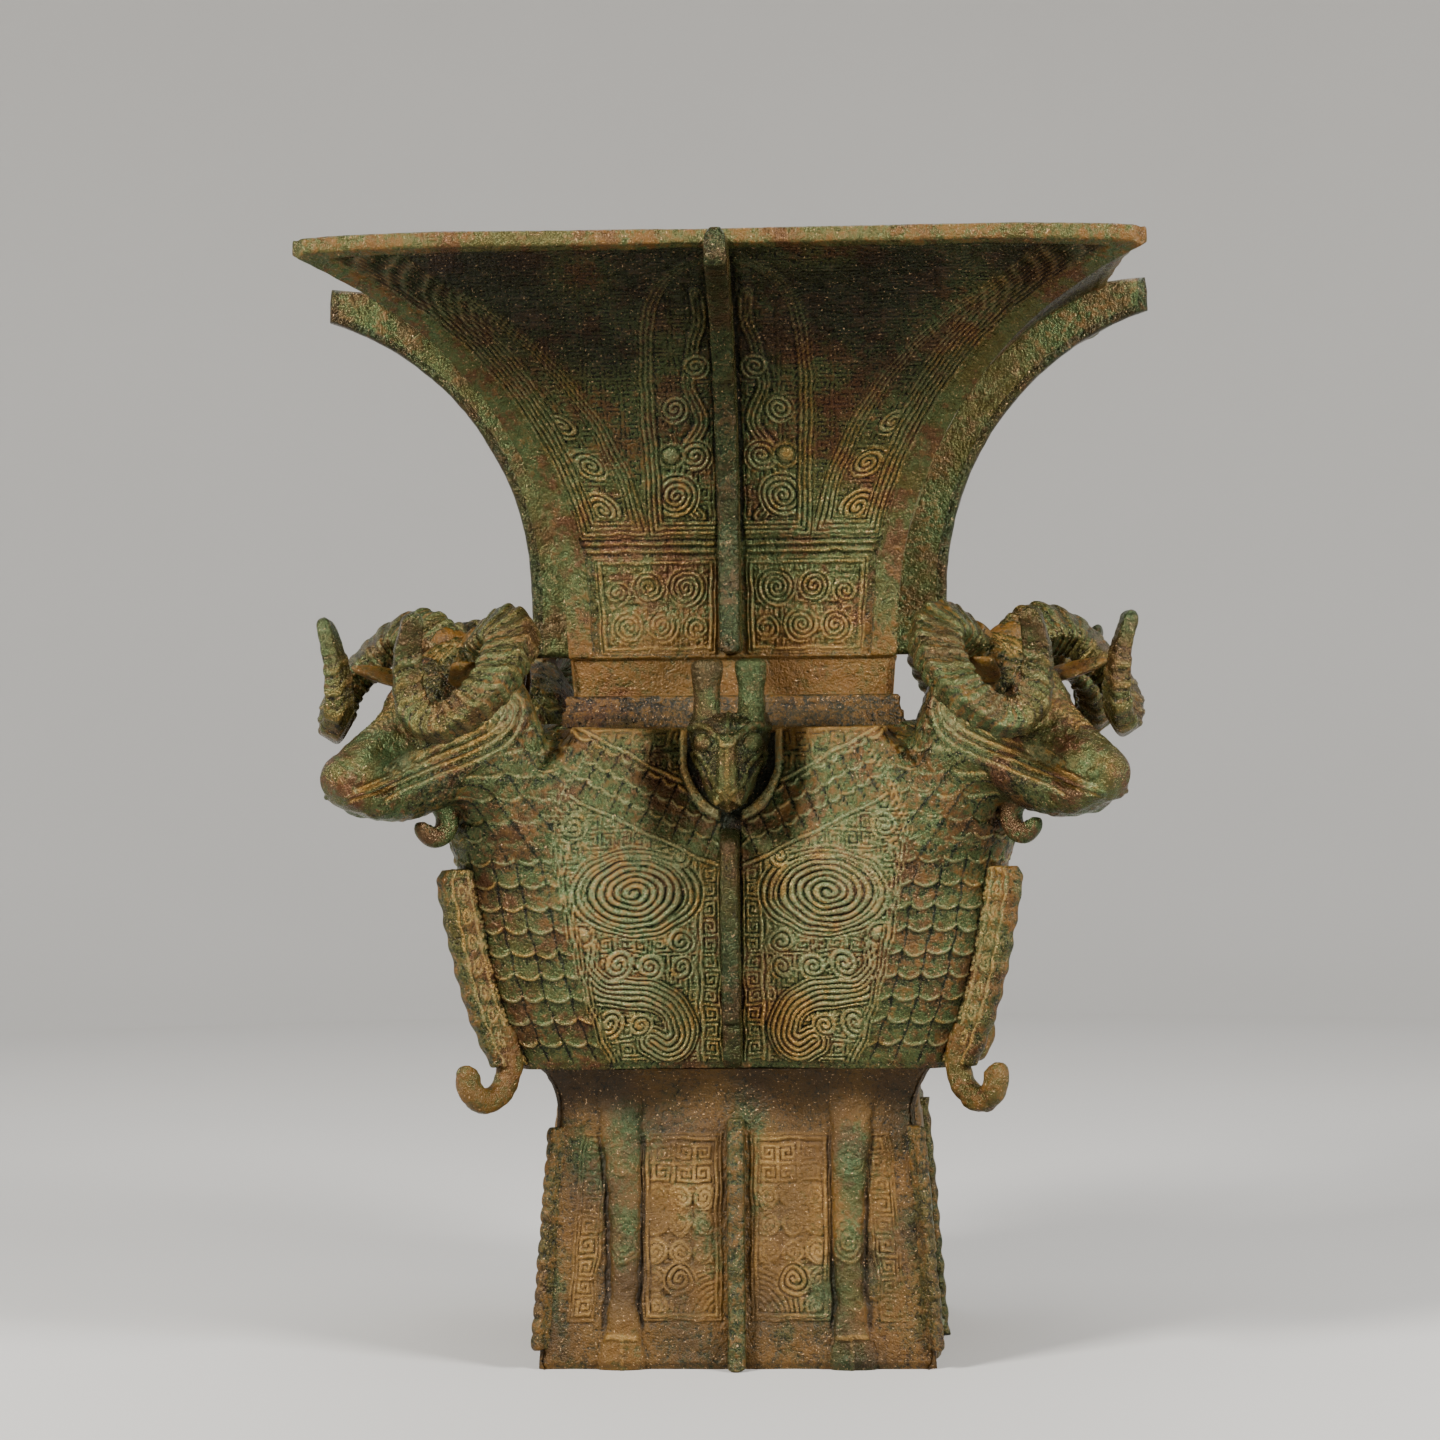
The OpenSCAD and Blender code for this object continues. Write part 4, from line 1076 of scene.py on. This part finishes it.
def upright(points):
    """Places in the plane y = 0 from distances out and heights."""
    return np.insert(np.asarray(points, float), 1, 0.0, axis=1)


def squared(values, power):
    """Draws the cosines or sines of a circle towards those of a square."""
    return np.sign(values) * np.abs(values) ** power


def swept(centres, towards, wide, thick, power=2.0, around=32):
    """Tube about a line of centres; towards is the first axis of its section."""
    towards = np.asarray(towards, float)
    way = np.gradient(centres, axis=0)
    way /= np.linalg.norm(way, axis=1, keepdims=True)
    e = towards - (towards * way).sum(axis=1, keepdims=True) * way
    e /= np.linalg.norm(e, axis=1, keepdims=True)
    b = np.cross(way, e)
    turn = 2.0 * math.pi * (np.arange(around) + 0.5) / around
    c = squared(np.cos(turn), 2.0 / power)
    s = squared(np.sin(turn), 2.0 / power)
    wide, thick = np.asarray(wide).reshape(len(centres), -1), np.asarray(thick).reshape(len(centres), -1)
    return centres[:, None] + e[:, None] * (wide * c)[..., None] + b[:, None] * (thick * s)[..., None]


def round_end(count, share):
    """Factors that draw a tube in to a round end over the last share of its length."""
    left = (1.0 - np.linspace(0.0, 1.0, count)) / share
    return np.sqrt(np.clip(1.0 - np.clip(1.0 - left, 0.0, 1.0) ** 2, 0.02, 1.0))


print("tube helper ready")

# %% [markdown]
# The chest flanges carry small scrolls between two lines, and each hook is a tube that starts
# inside its plate. The foot has ribs on its faces and low flanges at its corners. Their scallops
# are equal bows, so the outer edge is a formula and not a list of points.


# %% chest and foot flanges
HOOK = ((8.0, 104.0), (5.5, 95.5), (6.8, 87.5), (10.8, 82.9), (16.0, 82.2), (20.2, 85.4), (21.2, 90.2),
        (20.4, 93.0))
HOOK_THICK = ((0.0, 3.6), (0.3, 3.8), (0.6, 3.7), (0.86, 3.7), (1.0, 3.4))
HOOK_ROWS, SCALLOPS = 90, 14
CHEST_TONE = {"shade": 0.15, "pale": 0.0, "earth": 0.15}
FOOT_TONE = {"shade": 0.3, "pale": 0.1, "earth": 0.0}
CORNER_TONE = {"shade": 0.2, "pale": 0.1, "earth": 0.2}


def chest_relief(grid, ends):
    """A row of small scrolls between two lines on the flank of a chest flange."""
    across = ends[None, :] * 15.6
    lines = line(across - 5.0) + line(across - 13.4)
    lx, ly = cells(grid[..., 2], across - 5.8, 7.4, 7.0)
    curl = line(spiral(lx, ly, 1.8)) * inside(np.hypot(lx, ly) - 3.2)
    return np.maximum(lines, curl) * (ends[None, :] < 0.95)


z_line = np.linspace(92.0, 150.4, 110)
chest = math.sqrt(2.0) * CHEST_HALF * eased((z_line - Z_BELLY) / BELLY_H, CHEST_SHARES)
reach = 11.0 + 0.35 * np.sin(z_line * 0.85) - 3.0 * smooth(z_line, 146.0, 150.4) ** 2
chest_in, chest_out = edge_line(chest - ROOT_DEPTH, z_line), edge_line(chest + reach, z_line)
root = math.sqrt(2.0) * CHEST_HALF * CHEST_SHARES[1]
hook_line = curve(upright(HOOK) + [root, 0.0, 0.0], HOOK_ROWS)
hook_thick = np.interp(np.linspace(0.0, 1.0, HOOK_ROWS), *zip(*HOOK_THICK)) * round_end(HOOK_ROWS, 0.07)
for k, (place, angle) in enumerate(CORNERS.items()):
    shape = flange(angle, chest_in, chest_out, 4.4, 140 + k, chest_relief, CHEST_TONE)
    hook = turned(swept(hook_line, SIDEWAYS, hook_thick * 0.88, hook_thick, 2.4), angle)
    hook = lifted(hook, wobble(hook, (0.16, 6.0, 150 + k), (0.1, 2.6, 154 + k)))
    shape.add(hook, True, {"raised": 0.5, "shade": 0.35, "earth": 0.35}, (0.0, 0.92, 1.0, 1.0), True)
    shape.piece("chest_flange_" + place + "_hooked", "chest_flange_" + place, "green_bronze", green_bronze)

z_line = np.linspace(0.0, 74.4, 120)[1:]
half = foot_half(z_line)
notch = 0.5 * np.sin(z_line * 0.42) ** 2
foot_in, foot_out = edge_line(half - ROOT_DEPTH, z_line), edge_line(half + 4.4 - notch, z_line)
plates("foot_flange", "plate", SIDES, "foot_bronze", foot_bronze, foot_in, foot_out, 5.2, 160, FOOT_TONE)

z_line = np.linspace(6.2, 71.8, 150)
edge = math.sqrt(2.0) * foot_half(z_line)
scallop = 1.5 + 0.9 * np.abs(np.sin(math.pi * (z_line - 6.0) / (66.0 / SCALLOPS))) ** 0.6
edge_in, edge_out = edge_line(edge - 3.0, z_line), edge_line(edge + scallop, z_line)
plates("foot_corner_flange", "scallops", CORNERS, "foot_bronze", foot_bronze, edge_in, edge_out, 3.6, 170,
       CORNER_TONE)
print("chest, foot and corner flanges: 12")

# %% [markdown]
# A ram's head and neck grow out of each corner of the shoulder. The head is a loft through
# sections that run from the seat on the chest to the muzzle, close to those of the frame. Behind
# the seat the skin spreads until it meets the belly's, so that no gap shows between the castings.

# %% ram skin
RAM_SECTIONS = [
    ((-13.5, 13.5), (13.5, -13.5), 18.0),
    ((-9.5, 23.0), (15.0, -11.0), 17.5),
    ((-3.0, 32.5), (17.5, -9.5), 17.0),
    ((5.0, 39.0), (20.5, -9.5), 16.2),
    ((13.0, 40.5), (25.0, -11.0), 15.6),
    ((21.0, 36.5), (30.0, -12.3), 14.6),
    ((29.0, 30.0), (35.0, -13.0), 13.0),
    ((37.0, 20.4), (40.5, -12.8), 10.6),
    ((45.0, 13.6), (46.0, -11.8), 8.8),
    ((52.0, 8.8), (51.6, -9.8), 7.8),
    ((57.4, 5.4), (56.0, -8.0), 6.6),
    ((60.0, 2.0), (58.8, -4.8), 3.8),
]
RAM_ROWS, ROOT_ROWS, RAM_COLS = 200, 26, 208
SLOPE = np.array([1.0, 0.0, 1.0]) / math.sqrt(2.0)
SEAT = np.array([SEAT_A, 0.0, SEAT_Z])


def onto_belly(points, depth):
    """Moves points of a ram square to its seat until they lie at a depth under the belly's skin."""
    low, high = np.full(points.shape[:-1], -30.0), np.full(points.shape[:-1], 30.0)
    for _ in range(24):
        mid = (low + high) / 2.0
        spot = points + SLOPE * mid[..., None] + SEAT
        turn = math.pi / 4.0 - np.abs(np.arctan2(spot[..., 1], spot[..., 0]))
        clear = np.hypot(spot[..., 0], spot[..., 1]) - belly_skin(turn, spot[..., 2]) > -depth
        high = np.where(clear, mid, high)
        low = np.where(clear, low, mid)
    return points + SLOPE * low[..., None]


def ram_skin():
    """Grid of a ram's head in its own lengths, and the distance of its points from the throat's line."""
    flat = np.array([[*top, *low, wide] for top, low, wide in RAM_SECTIONS])
    run = curve(flat, RAM_ROWS)
    turn = 2.0 * math.pi * np.arange(RAM_COLS) / RAM_COLS
    c, s = squared(np.cos(turn), 0.85), squared(np.sin(turn), 0.85)
    top, low, wide = run[:, 0:2], run[:, 2:4], run[:, 4:]
    mid, up = (top + low) / 2.0, (top - low) / 2.0
    loft = np.stack([mid[:, :1] + s * up[:, :1], c * wide, mid[:, 1:] + s * up[:, 1:]], axis=-1)
    root = []
    for q in np.linspace(1.0, 0.0, ROOT_ROWS + 1)[:-1]:
        ring = loft[0] * (1.0 + 0.34 * q * q)
        root.append(ring + (onto_belly(ring, q ** 6) - ring) * q ** 0.7)
    loft = np.concatenate([np.array(root), loft])
    girth = np.abs((turn + math.pi / 2.0 + math.pi) % (2.0 * math.pi) - math.pi)
    size = np.concatenate([np.full(ROOT_ROWS, 18.5), (np.linalg.norm(up, axis=1) + wide[:, 0]) / 2.0])
    return loft, girth[None, :] * size[:, None]


skin, girth = ram_skin()
skin, girth = skin[:, ::-1], girth[:, ::-1]
print("ram skin:", skin.shape[0], "rows by", skin.shape[1], "columns")

# %% [markdown]
# The eye, brow, lips, nose and jaw are broad heights on a ram's skin. The whorl on the cheek, the
# hair and the scales of the neck are fine lines. Both are worked out from where a point lies when
# the head is seen from the side, so the two sides of a head get them at once.

# %% ram relief
MOUTH_LINE = ((60, -6.6), (51.2, -4.0), (42.2, -0.5), (30.5, 4.1), (18.6, 8.2), (9.0, 13.0), (4.0, 20.0))
BROW_LINE = ((39, 14.0), (35, 18.5), (28, 20.5), (22, 18.5))
SCALE_EDGE = ((-16.0, 30.0), (-6.0, 22.0), (4.0, 10.0), (10.0, 6.0), (22.0, -2.0))


def ram_lines(x, y, z, side, girth, mouth):
    """Fine lines of a ram's head, and where scales cover it below the cheek."""
    lines = line(mouth - 1.2, 0.42, 0.5) * (1.0 - smooth(x, 53.0, 57.0))
    lines = lines + 0.8 * line(mouth - 4.0, 0.35, 0.5) * inside(x - 46.0, 3.0)
    whorl = np.hypot(x - 9.0, z - 19.0)
    lines = lay(lines, line(spiral(x - 9.0, z - 19.0, 1.9), 0.45, 0.45), inside(whorl - 7.2))
    loop = np.hypot((x - 39.5 + 0.4 * (z - 4.6)) / 2.2, z - 4.6 + 0.35 * (x - 39.5))
    lines = lay(lines, line(loop - 1.7, 0.3, 0.4) + inside(loop - 0.9), inside(loop - 2.2))
    hair = many_lines(x - 0.08 * y * y, 46.0, 1.5)
    hair = hair * inside(np.abs(x - 38.0) - 9.0, 3.0) * inside(9.0 - z, 3.0)
    crown = many_lines(y + 0.6 * np.sin(x * 0.4), 12.0, 1.6)
    crown = crown * inside(np.abs(x - 12.0) - 12.0) * inside(28.0 - z)
    under = inside(z - np.interp(x, *zip(*SCALE_EDGE)), 1.0) * inside(x - 21.0, 2.0)
    tiles = scales(girth - 2.6, z + 20.0, 7.2, 6.8)
    return lay(lines * side + (hair * 0.5 + crown) * (1.0 - side), tiles, under), under


def ram_forms(x, z, flank, side, under, mouth):
    """Broad heights of a ram's head: eye, brow, lips, nose, jaw, nostril and the cleft of the mouth."""
    front = 1.0 - smooth(x, 46.0, 54.0)
    eye = np.hypot((x - 33.0) / 1.35, z - 14.2)
    high = 1.4 * dome(eye / 2.3) + 0.6 * line(eye - 3.2, 0.3, 0.5)
    high = high + 0.9 * (1.0 - smooth(track(x, z, BROW_LINE), 0.6, 2.2))
    high = high - 0.6 * (1.0 - smooth(mouth, 0.2, 1.0)) * inside(16.0 - x, 3.0)
    high = high + 0.8 * line(mouth - 1.6, 0.5, 0.8) * front
    high = high + (1.0 - smooth(np.hypot(x - 56.0, z - 1.0), 2.5, 7.0))
    jaw = inside(z + 4.6 + 0.1 * (x - 52.0), 1.2) * smooth(x, 38.0, 46.0) * front
    nostril = 1.0 - smooth(np.hypot(x - 54.6, (z + 0.6) * 1.1), 1.0, 2.4)
    high = high - 1.3 * jaw - nostril
    cleft = 1.5 * (1.0 - smooth(mouth, 0.2, 1.1)) * smooth(x, 36.0, 44.0) * smooth(flank, 0.05, 0.2) * front
    return high * side * (1.0 - under) - cleft


x, y, z = skin[..., 0], np.abs(skin[..., 1]), skin[..., 2]
flank = np.abs(normals_of(skin, True)[..., 1])
cheek = smooth(flank, 0.25, 0.55)
mouth = track(x, z, MOUTH_LINE)
fine, under = ram_lines(x, y, z, cheek, girth, mouth)
heavy = ram_forms(x, z, flank, cheek, under, mouth)
print("ram relief: up to", round(float((fine + heavy).max()), 2), "mm high")

# %% [markdown]
# Each head also has two ears, two stubs that carry the horns and a curled beard under the chin.
# They are swept as tubes in the ram's own lengths and moved to the four corners with the head.

# %% ram heads
EAR = ((14.0, 11.5, 26.0), (20.5, 17.0, 28.5), (27.0, 21.5, 30.5), (33.0, 24.5, 32.0))
STUB = ((7.5, 4.0, 33.0), (9.0, 7.5, 37.0), (9.6, 10.5, 38.6))
BEARD = ((19.5, -6.0), (16.8, -11.5), (18.0, -16.4), (22.0, -18.0), (25.6, -15.8), (25.4, -13.4))
EAR_ROWS, EAR_AROUND, STUB_ROWS, BEARD_ROWS = 40, 28, 16, 50


def ear(side):
    """A leaf-shaped ear, hollow on its upper face."""
    centres = curve(np.array(EAR) * [1.0, side, 1.0], EAR_ROWS)
    t = np.linspace(0.0, 1.0, EAR_ROWS)
    wide = 0.4 + 5.8 * np.sin(math.pi * np.clip(t * 0.93 + 0.07, 0.0, 1.0)) ** 0.8
    thick = 1.7 * round_end(EAR_ROWS, 0.2)
    leaf = swept(centres, (-0.62, side * 0.62, 0.35), wide, thick, 2.0, EAR_AROUND)
    turn = 2.0 * math.pi * (np.arange(EAR_AROUND) + 0.5) / EAR_AROUND
    leaf[..., 2] -= np.clip(np.sin(turn) * side, 0.0, 1.0)[None, :] * np.sin(math.pi * t)[:, None] * 1.4
    return leaf


def stub(side):
    """The stub on top of the head that carries a horn."""
    wide = np.linspace(6.6, 5.9, STUB_ROWS)
    return swept(curve(np.array(STUB) * [1.0, side, 1.0], STUB_ROWS), (1.0, 0.0, 0.0), wide, wide, 2.4)


def on_corner(points, angle):
    """Moves a ram's own lengths to its seat on a corner."""
    return turned(points + SEAT, angle)


beard_thick = np.interp(np.linspace(0.0, 1.0, BEARD_ROWS), [0.0, 0.4, 1.0], [4.6, 3.6, 2.6])
beard_thick = beard_thick * round_end(BEARD_ROWS, 0.08)
beard = swept(curve(upright(BEARD), BEARD_ROWS), SIDEWAYS, beard_thick * 0.75, beard_thick, 2.2)
beard_masks = {"raised": 0.4, "earth": -0.2, "shade": 0.2}
top, tip = smooth(z, 14.0, 34.0), smooth(x, 32.0, 46.0)
masks = {
    "raised": np.clip(fine + (heavy * 0.15 + 0.22 + 0.28 * tip) * (1.0 - under), 0.0, 1.2),
    "earth": 0.2 * top - 0.2 * tip,
    "shade": 0.1 * tip,
}
for k, (place, angle) in enumerate(CORNERS.items()):
    shape = Shape()
    head = on_corner(skin, angle)
    worn = 0.8 + wobble(head, (0.2, 20.0, 200 + k))
    lift = heavy + fine * worn + wobble(head, (0.2, 9.0, 210 + k), (0.13, 3.2, 220 + k))
    head = lifted(head, lift * (1.0 - smooth(x, 56.5, 59.0)))
    shape.add(head, True, masks, (0.0, 0.0, 1.0, 0.7), True)
    for j, side in enumerate((-1.0, 1.0)):
        left, right = 0.5 * j, 0.5 * j + 0.48
        leaf, horn_seat = on_corner(ear(side), angle), on_corner(stub(side), angle)
        shape.add(leaf, True, {"raised": 0.4, "earth": 0.45}, (left, 0.72, right, 0.84), True)
        shape.add(horn_seat, True, {"raised": 0.3, "earth": 0.6}, (left, 0.85, right, 0.91), True)
    shape.add(on_corner(beard, angle), True, beard_masks, (0.0, 0.92, 1.0, 1.0), True)
    shape.piece("ram_head_" + place + "_cast", "ram_head_" + place, "green_bronze", green_bronze)
print("ram heads: 4")

# %% [markdown]
# The horns leave the top of the head sideways, curl round the ear and rise at the front. They are
# swept along that line with a nearly square section, and thin ridges run across them.

# %% horns
HORN_PATH = [(9, 7.5, 37), (11.5, 19.5, 41.5), (15, 29, 39), (23.5, 33.8, 30), (31, 32.8, 21.8),
             (38, 25, 15.4), (42, 19, 18.2), (43, 17, 24.5), (44, 17.8, 35), (44.8, 22, 46.5)]
HORN_CENTRE = np.array([28.0, 25.0, 29.0])
HORN_ROWS, HORN_AROUND, RIDGES = 360, 56, 19.0
HORN_ROOT, HORN_TIP = 11.4, 4.4


def horn(side):
    """Grid of a horn in the ram's own lengths, with its ridges, its valleys and shares of its length."""
    mirror = np.array([1.0, side, 1.0])
    path = curve(np.array(HORN_PATH) * mirror, HORN_ROWS)
    t = np.linspace(0.0, 1.0, HORN_ROWS)
    thick = (HORN_ROOT + (HORN_TIP - HORN_ROOT) * t ** 1.2) * 0.5
    turn = 2.0 * math.pi * (np.arange(HORN_AROUND) + 0.5) / HORN_AROUND
    phase = (t ** 0.9 * RIDGES)[:, None] + 0.42 * np.cos(turn)[None, :]
    saw = phase - np.floor(phase)
    lined = ((1.0 - smooth(t, 0.86, 0.94)) * smooth(t, 0.02, 0.05))[:, None]
    ridge = line(saw - 0.5, 0.10, 0.16) * lined
    valley = line(saw - 0.5, 0.30, 0.14) * lined - ridge
    size = thick[:, None] * (0.96 + 0.08 * ridge) * round_end(HORN_ROWS, 0.035)[:, None]
    broad = 1.0 + 0.45 * np.minimum(10.0 * t, 1.0)[:, None]
    grid = swept(path, path - HORN_CENTRE * mirror, size * broad, size, 5.0, HORN_AROUND)
    return grid, ridge, valley, t


for k, (place, angle) in enumerate(CORNERS.items()):
    for word, side in (("left", 1.0), ("right", -1.0)):
        grid, ridge, valley, t = horn(side)
        grid = on_corner(grid, angle)
        grid = lifted(grid, wobble(grid, (0.13, 6.0, 240 + k), (0.06, 2.5, 250 + k)))
        masks = {"raised": 0.36 + 0.36 * ridge - 0.14 * valley, "earth": 0.4 * valley - 0.15,
                 "shade": (0.22 + 0.3 * smooth(t, 0.72, 0.9))[:, None]}
        shape = Shape()
        shape.add(grid, True, masks, (0.0, 0.0, 1.0, 0.9), True)
        node = "horn_" + word + "_" + place
        shape.piece(node + "_ridged", node, "horn_bronze", horn_bronze)
print("horns: 8")

# %% [markdown]
# A small dragon's head looks out from the middle of each shoulder, under two horns shaped like
# bottles. The face is a half round mask with brow, eyes, nose and mouth as heights, and each
# horn is turned about its own axis.

# %% dragon heads
DRAGON_PAD, DRAGON_LOW, DRAGON_H, DRAGON_W, DRAGON_OUT = 66.15, 169.05, 27.0, 24.0, 19.0
DRAGON_SECTIONS = [(0.0, 0.3, 0.74), (0.08, 0.45, 0.92), (0.23, 0.61, 1.0), (0.42, 0.78, 0.98),
                   (0.64, 0.94, 0.9), (0.86, 1.0, 0.72), (1.0, 0.94, 0.5)]
BOTTLE = ((4.2, -3.5), (4.3, 0.0), (4.1, 5.5), (3.95, 9.5), (4.5, 13.0), (4.7, 15.4), (4.5, 17.8),
          (2.8, 18.9), (0.3, 19.1))
BOTTLE_ROWS, BOTTLE_AROUND = 60, 36


def dragon_mask():
    """Grid of a dragon's face: rows up, columns from one temple to the other."""
    run = curve(np.array(DRAGON_SECTIONS), 110)
    turn = np.linspace(-math.pi / 2.0, math.pi / 2.0, 90)
    out = DRAGON_PAD - 1.0 + (DRAGON_OUT + 1.0) * run[:, 2:] * np.clip(np.cos(turn), 0.0, 1.0)[None, :] ** 0.7
    y = DRAGON_W / 2.0 * run[:, 1:2] * np.sin(turn)[None, :]
    return np.stack([out, y, np.broadcast_to(DRAGON_LOW + DRAGON_H * run[:, :1], y.shape)], axis=-1)


def dragon_relief(y, z):
    """Heights of the face: two eyes high up, brows, a long snout with a ridge, nostrils and jaw lines."""
    up = z - DRAGON_LOW
    a = np.abs(y)
    snout = (1.0 - smooth(a, 1.4, 3.6)) * (1.0 - smooth(up, 17.0, 22.0))
    h = 1.5 * snout + 0.7 * line(a, 0.3, 0.5)
    eye = np.hypot(a - 7.2, (up - 18.4) / 1.1)
    h = lay(h, 1.9 * dome(eye / 2.5), inside(eye - 2.9))
    brow = track(a, up, [(1.0, 17.0), (3.4, 20.2), (7.2, 23.0), (11.0, 22.4)])
    h = h + 1.3 * line(brow, 0.5, 0.8)
    nostril = np.hypot(a - 2.3, up - 3.6)
    h = h + 0.9 * line(nostril - 1.3, 0.35, 0.5)
    jaw = track(a, up, [(3.4, 2.0), (5.2, 6.0), (7.0, 11.0), (9.6, 14.4)])
    return h + 0.9 * line(jaw - 1.1, 0.3, 0.5) - 0.6 * line(jaw, 0.3, 0.5)


face = dragon_mask()
heights = dragon_relief(face[..., 1], face[..., 2])
heights = heights * smooth(face[..., 0], DRAGON_PAD - 0.5, DRAGON_PAD + 3.0)
face_masks = {"raised": np.clip(0.2 + heights * 0.25, 0.0, 1.0), "shade": 0.45, "earth": -0.1}
horn_masks = {"raised": 0.4, "shade": 0.45, "earth": -0.1}
bottle = curve(BOTTLE, BOTTLE_ROWS)
turn = 2.0 * math.pi * np.arange(BOTTLE_AROUND) / BOTTLE_AROUND
reach = DRAGON_PAD + 5.3 + bottle[:, :1] * np.cos(turn)
rise = np.broadcast_to(DRAGON_LOW + DRAGON_H - 3.0 + bottle[:, 1:], reach.shape)
for k, (place, angle) in enumerate(SIDES.items()):
    shape = Shape()
    grid = turned(face, angle)
    rough = wobble(grid, (0.15, 6.0, 280 + k), (0.2, 3.0, 285 + k))
    shape.add(lifted(grid, heights + rough, False), True, face_masks, (0.0, 0.0, 1.0, 0.6), True)
    for j, lateral in enumerate((-6.5, 6.5)):
        grid = np.stack([reach, lateral + bottle[:, :1] * np.sin(turn), rise], axis=-1)
        grid = turned(grid, angle)
        grid = lifted(grid, wobble(grid, (0.22, 8.0, 290 + k)))
        shape.add(grid, True, horn_masks, (0.5 * j, 0.62, 0.5 * j + 0.48, 1.0), True)
    shape.piece("dragon_head_" + place + "_cast", "dragon_head_" + place, "dark_bronze", dark_bronze)
print("dragon heads: 4")

# %% [markdown]
# The photo studio: a pale floor that sweeps up all round the vessel, soft lamps and a long lens
# nearly level with the collar. The camera was fitted to the photo through the vessel's corners,
# so its lens, its distance and its slight roll are those of the picture.

# %% stage, light and camera
FLOOR_R, SWEEP_R, WALL_TOP, ROUND = 1.2, 0.9, 3.0, 72
sweep = [(0.02, 0.0), (0.6, 0.0), (FLOOR_R, 0.0)]
for turn in np.linspace(0.0, math.pi / 2.0, 14):
    sweep.append((FLOOR_R + SWEEP_R * math.sin(turn), SWEEP_R - SWEEP_R * math.cos(turn)))
sweep.append((FLOOR_R + SWEEP_R, WALL_TOP))
spokes = 2.0 * math.pi * np.arange(ROUND) / ROUND
verts = [(r * math.cos(a), r * math.sin(a), z) for r, z in sweep for a in spokes]
faces = [tuple(int(i) for i in f) for f in quads_of(len(sweep), ROUND, True)[:, ::-1]]
faces.append(tuple(range(ROUND)))
floor_mesh = bpy.data.meshes.new("studio_floor")
floor_mesh.from_pydata(verts, [], faces)
floor_mesh.polygons.foreach_set("use_smooth", [True] * len(faces))
paper = Finish("studio_paper")
tone = paper.noise(3.0, 2.0, 0.5, 0.4)
paper.shine(base_color=paper.mix(tone, (0.42, 0.415, 0.405), (0.45, 0.445, 0.435)))
paper.shine(roughness=0.9)
floor_mesh.materials.append(paper.material)
studio_floor = bpy.data.objects.new("studio_floor", floor_mesh)
bpy.context.scene.collection.objects.link(studio_floor)


def lamp(name, place, aim, size, watts, colour):
    """A square soft lamp that shines from place towards aim."""
    light = bpy.data.lights.new(name, "AREA")
    light.size = size
    light.energy = watts
    light.color = colour
    obj = bpy.data.objects.new(name, light)
    obj.location = place
    way = np.array(aim) - np.array(place)
    flat = math.hypot(way[0], way[1])
    obj.rotation_euler = (math.atan2(flat, -way[2]), 0.0, math.atan2(way[1], way[0]) - math.pi / 2.0)
    bpy.context.scene.collection.objects.link(obj)


lamp("key_lamp", (-1.05, -0.95, 1.05), (0.0, 0.0, 0.17), 0.42, 62.0, (1.0, 0.97, 0.92))
lamp("fill_lamp", (1.15, -0.75, 0.85), (0.0, 0.0, 0.17), 0.42, 45.0, (1.0, 0.98, 0.95))
lamp("top_lamp", (0.0, 0.55, 1.5), (0.0, 0.0, 0.2), 0.8, 12.0, (1.0, 1.0, 1.0))
world = bpy.data.worlds.new("studio")
world.use_nodes = True
background = world.node_tree.nodes["Background"]
background.inputs["Color"].default_value = (0.9, 0.92, 0.95, 1.0)
background.inputs["Strength"].default_value = 0.12
bpy.context.scene.world = world

VIEW_TURN, VIEW_ROLL = math.radians(3.0), math.radians(-0.55)
VIEW_FAR, VIEW_SIDE, VIEW_HIGH = 1.1, -0.0064, 0.194
FOCAL_PIXELS, PHOTO_PIXELS = 3487.0, 1440.0
lens = bpy.data.cameras.new("photo_camera")
lens.sensor_width = 36.0
lens.lens = FOCAL_PIXELS / PHOTO_PIXELS * lens.sensor_width
camera = bpy.data.objects.new("photo_camera", lens)
camera.location = (
    VIEW_FAR * math.sin(VIEW_TURN) + VIEW_SIDE * math.cos(VIEW_TURN),
    -VIEW_FAR * math.cos(VIEW_TURN) + VIEW_SIDE * math.sin(VIEW_TURN),
    VIEW_HIGH)
camera.rotation_mode = "QUATERNION"
about_z = np.array([math.cos(VIEW_TURN / 2.0), 0.0, 0.0, math.sin(VIEW_TURN / 2.0)])
about_x = np.array([math.cos(math.pi / 4.0), math.sin(math.pi / 4.0), 0.0, 0.0])
about_view = np.array([math.cos(VIEW_ROLL / 2.0), 0.0, 0.0, math.sin(VIEW_ROLL / 2.0)])


def times(p, q):
    """Product of two rotations as quaternions."""
    w = p[0] * q[0] - p[1:] @ q[1:]
    return np.concatenate([[w], p[0] * q[1:] + q[0] * p[1:] + np.cross(p[1:], q[1:])])


camera.rotation_quaternion = times(times(about_z, about_x), about_view)
bpy.context.scene.collection.objects.link(camera)
bpy.context.scene.camera = camera
print("camera at", [round(v, 4) for v in camera.location], "lens", round(lens.lens, 2))
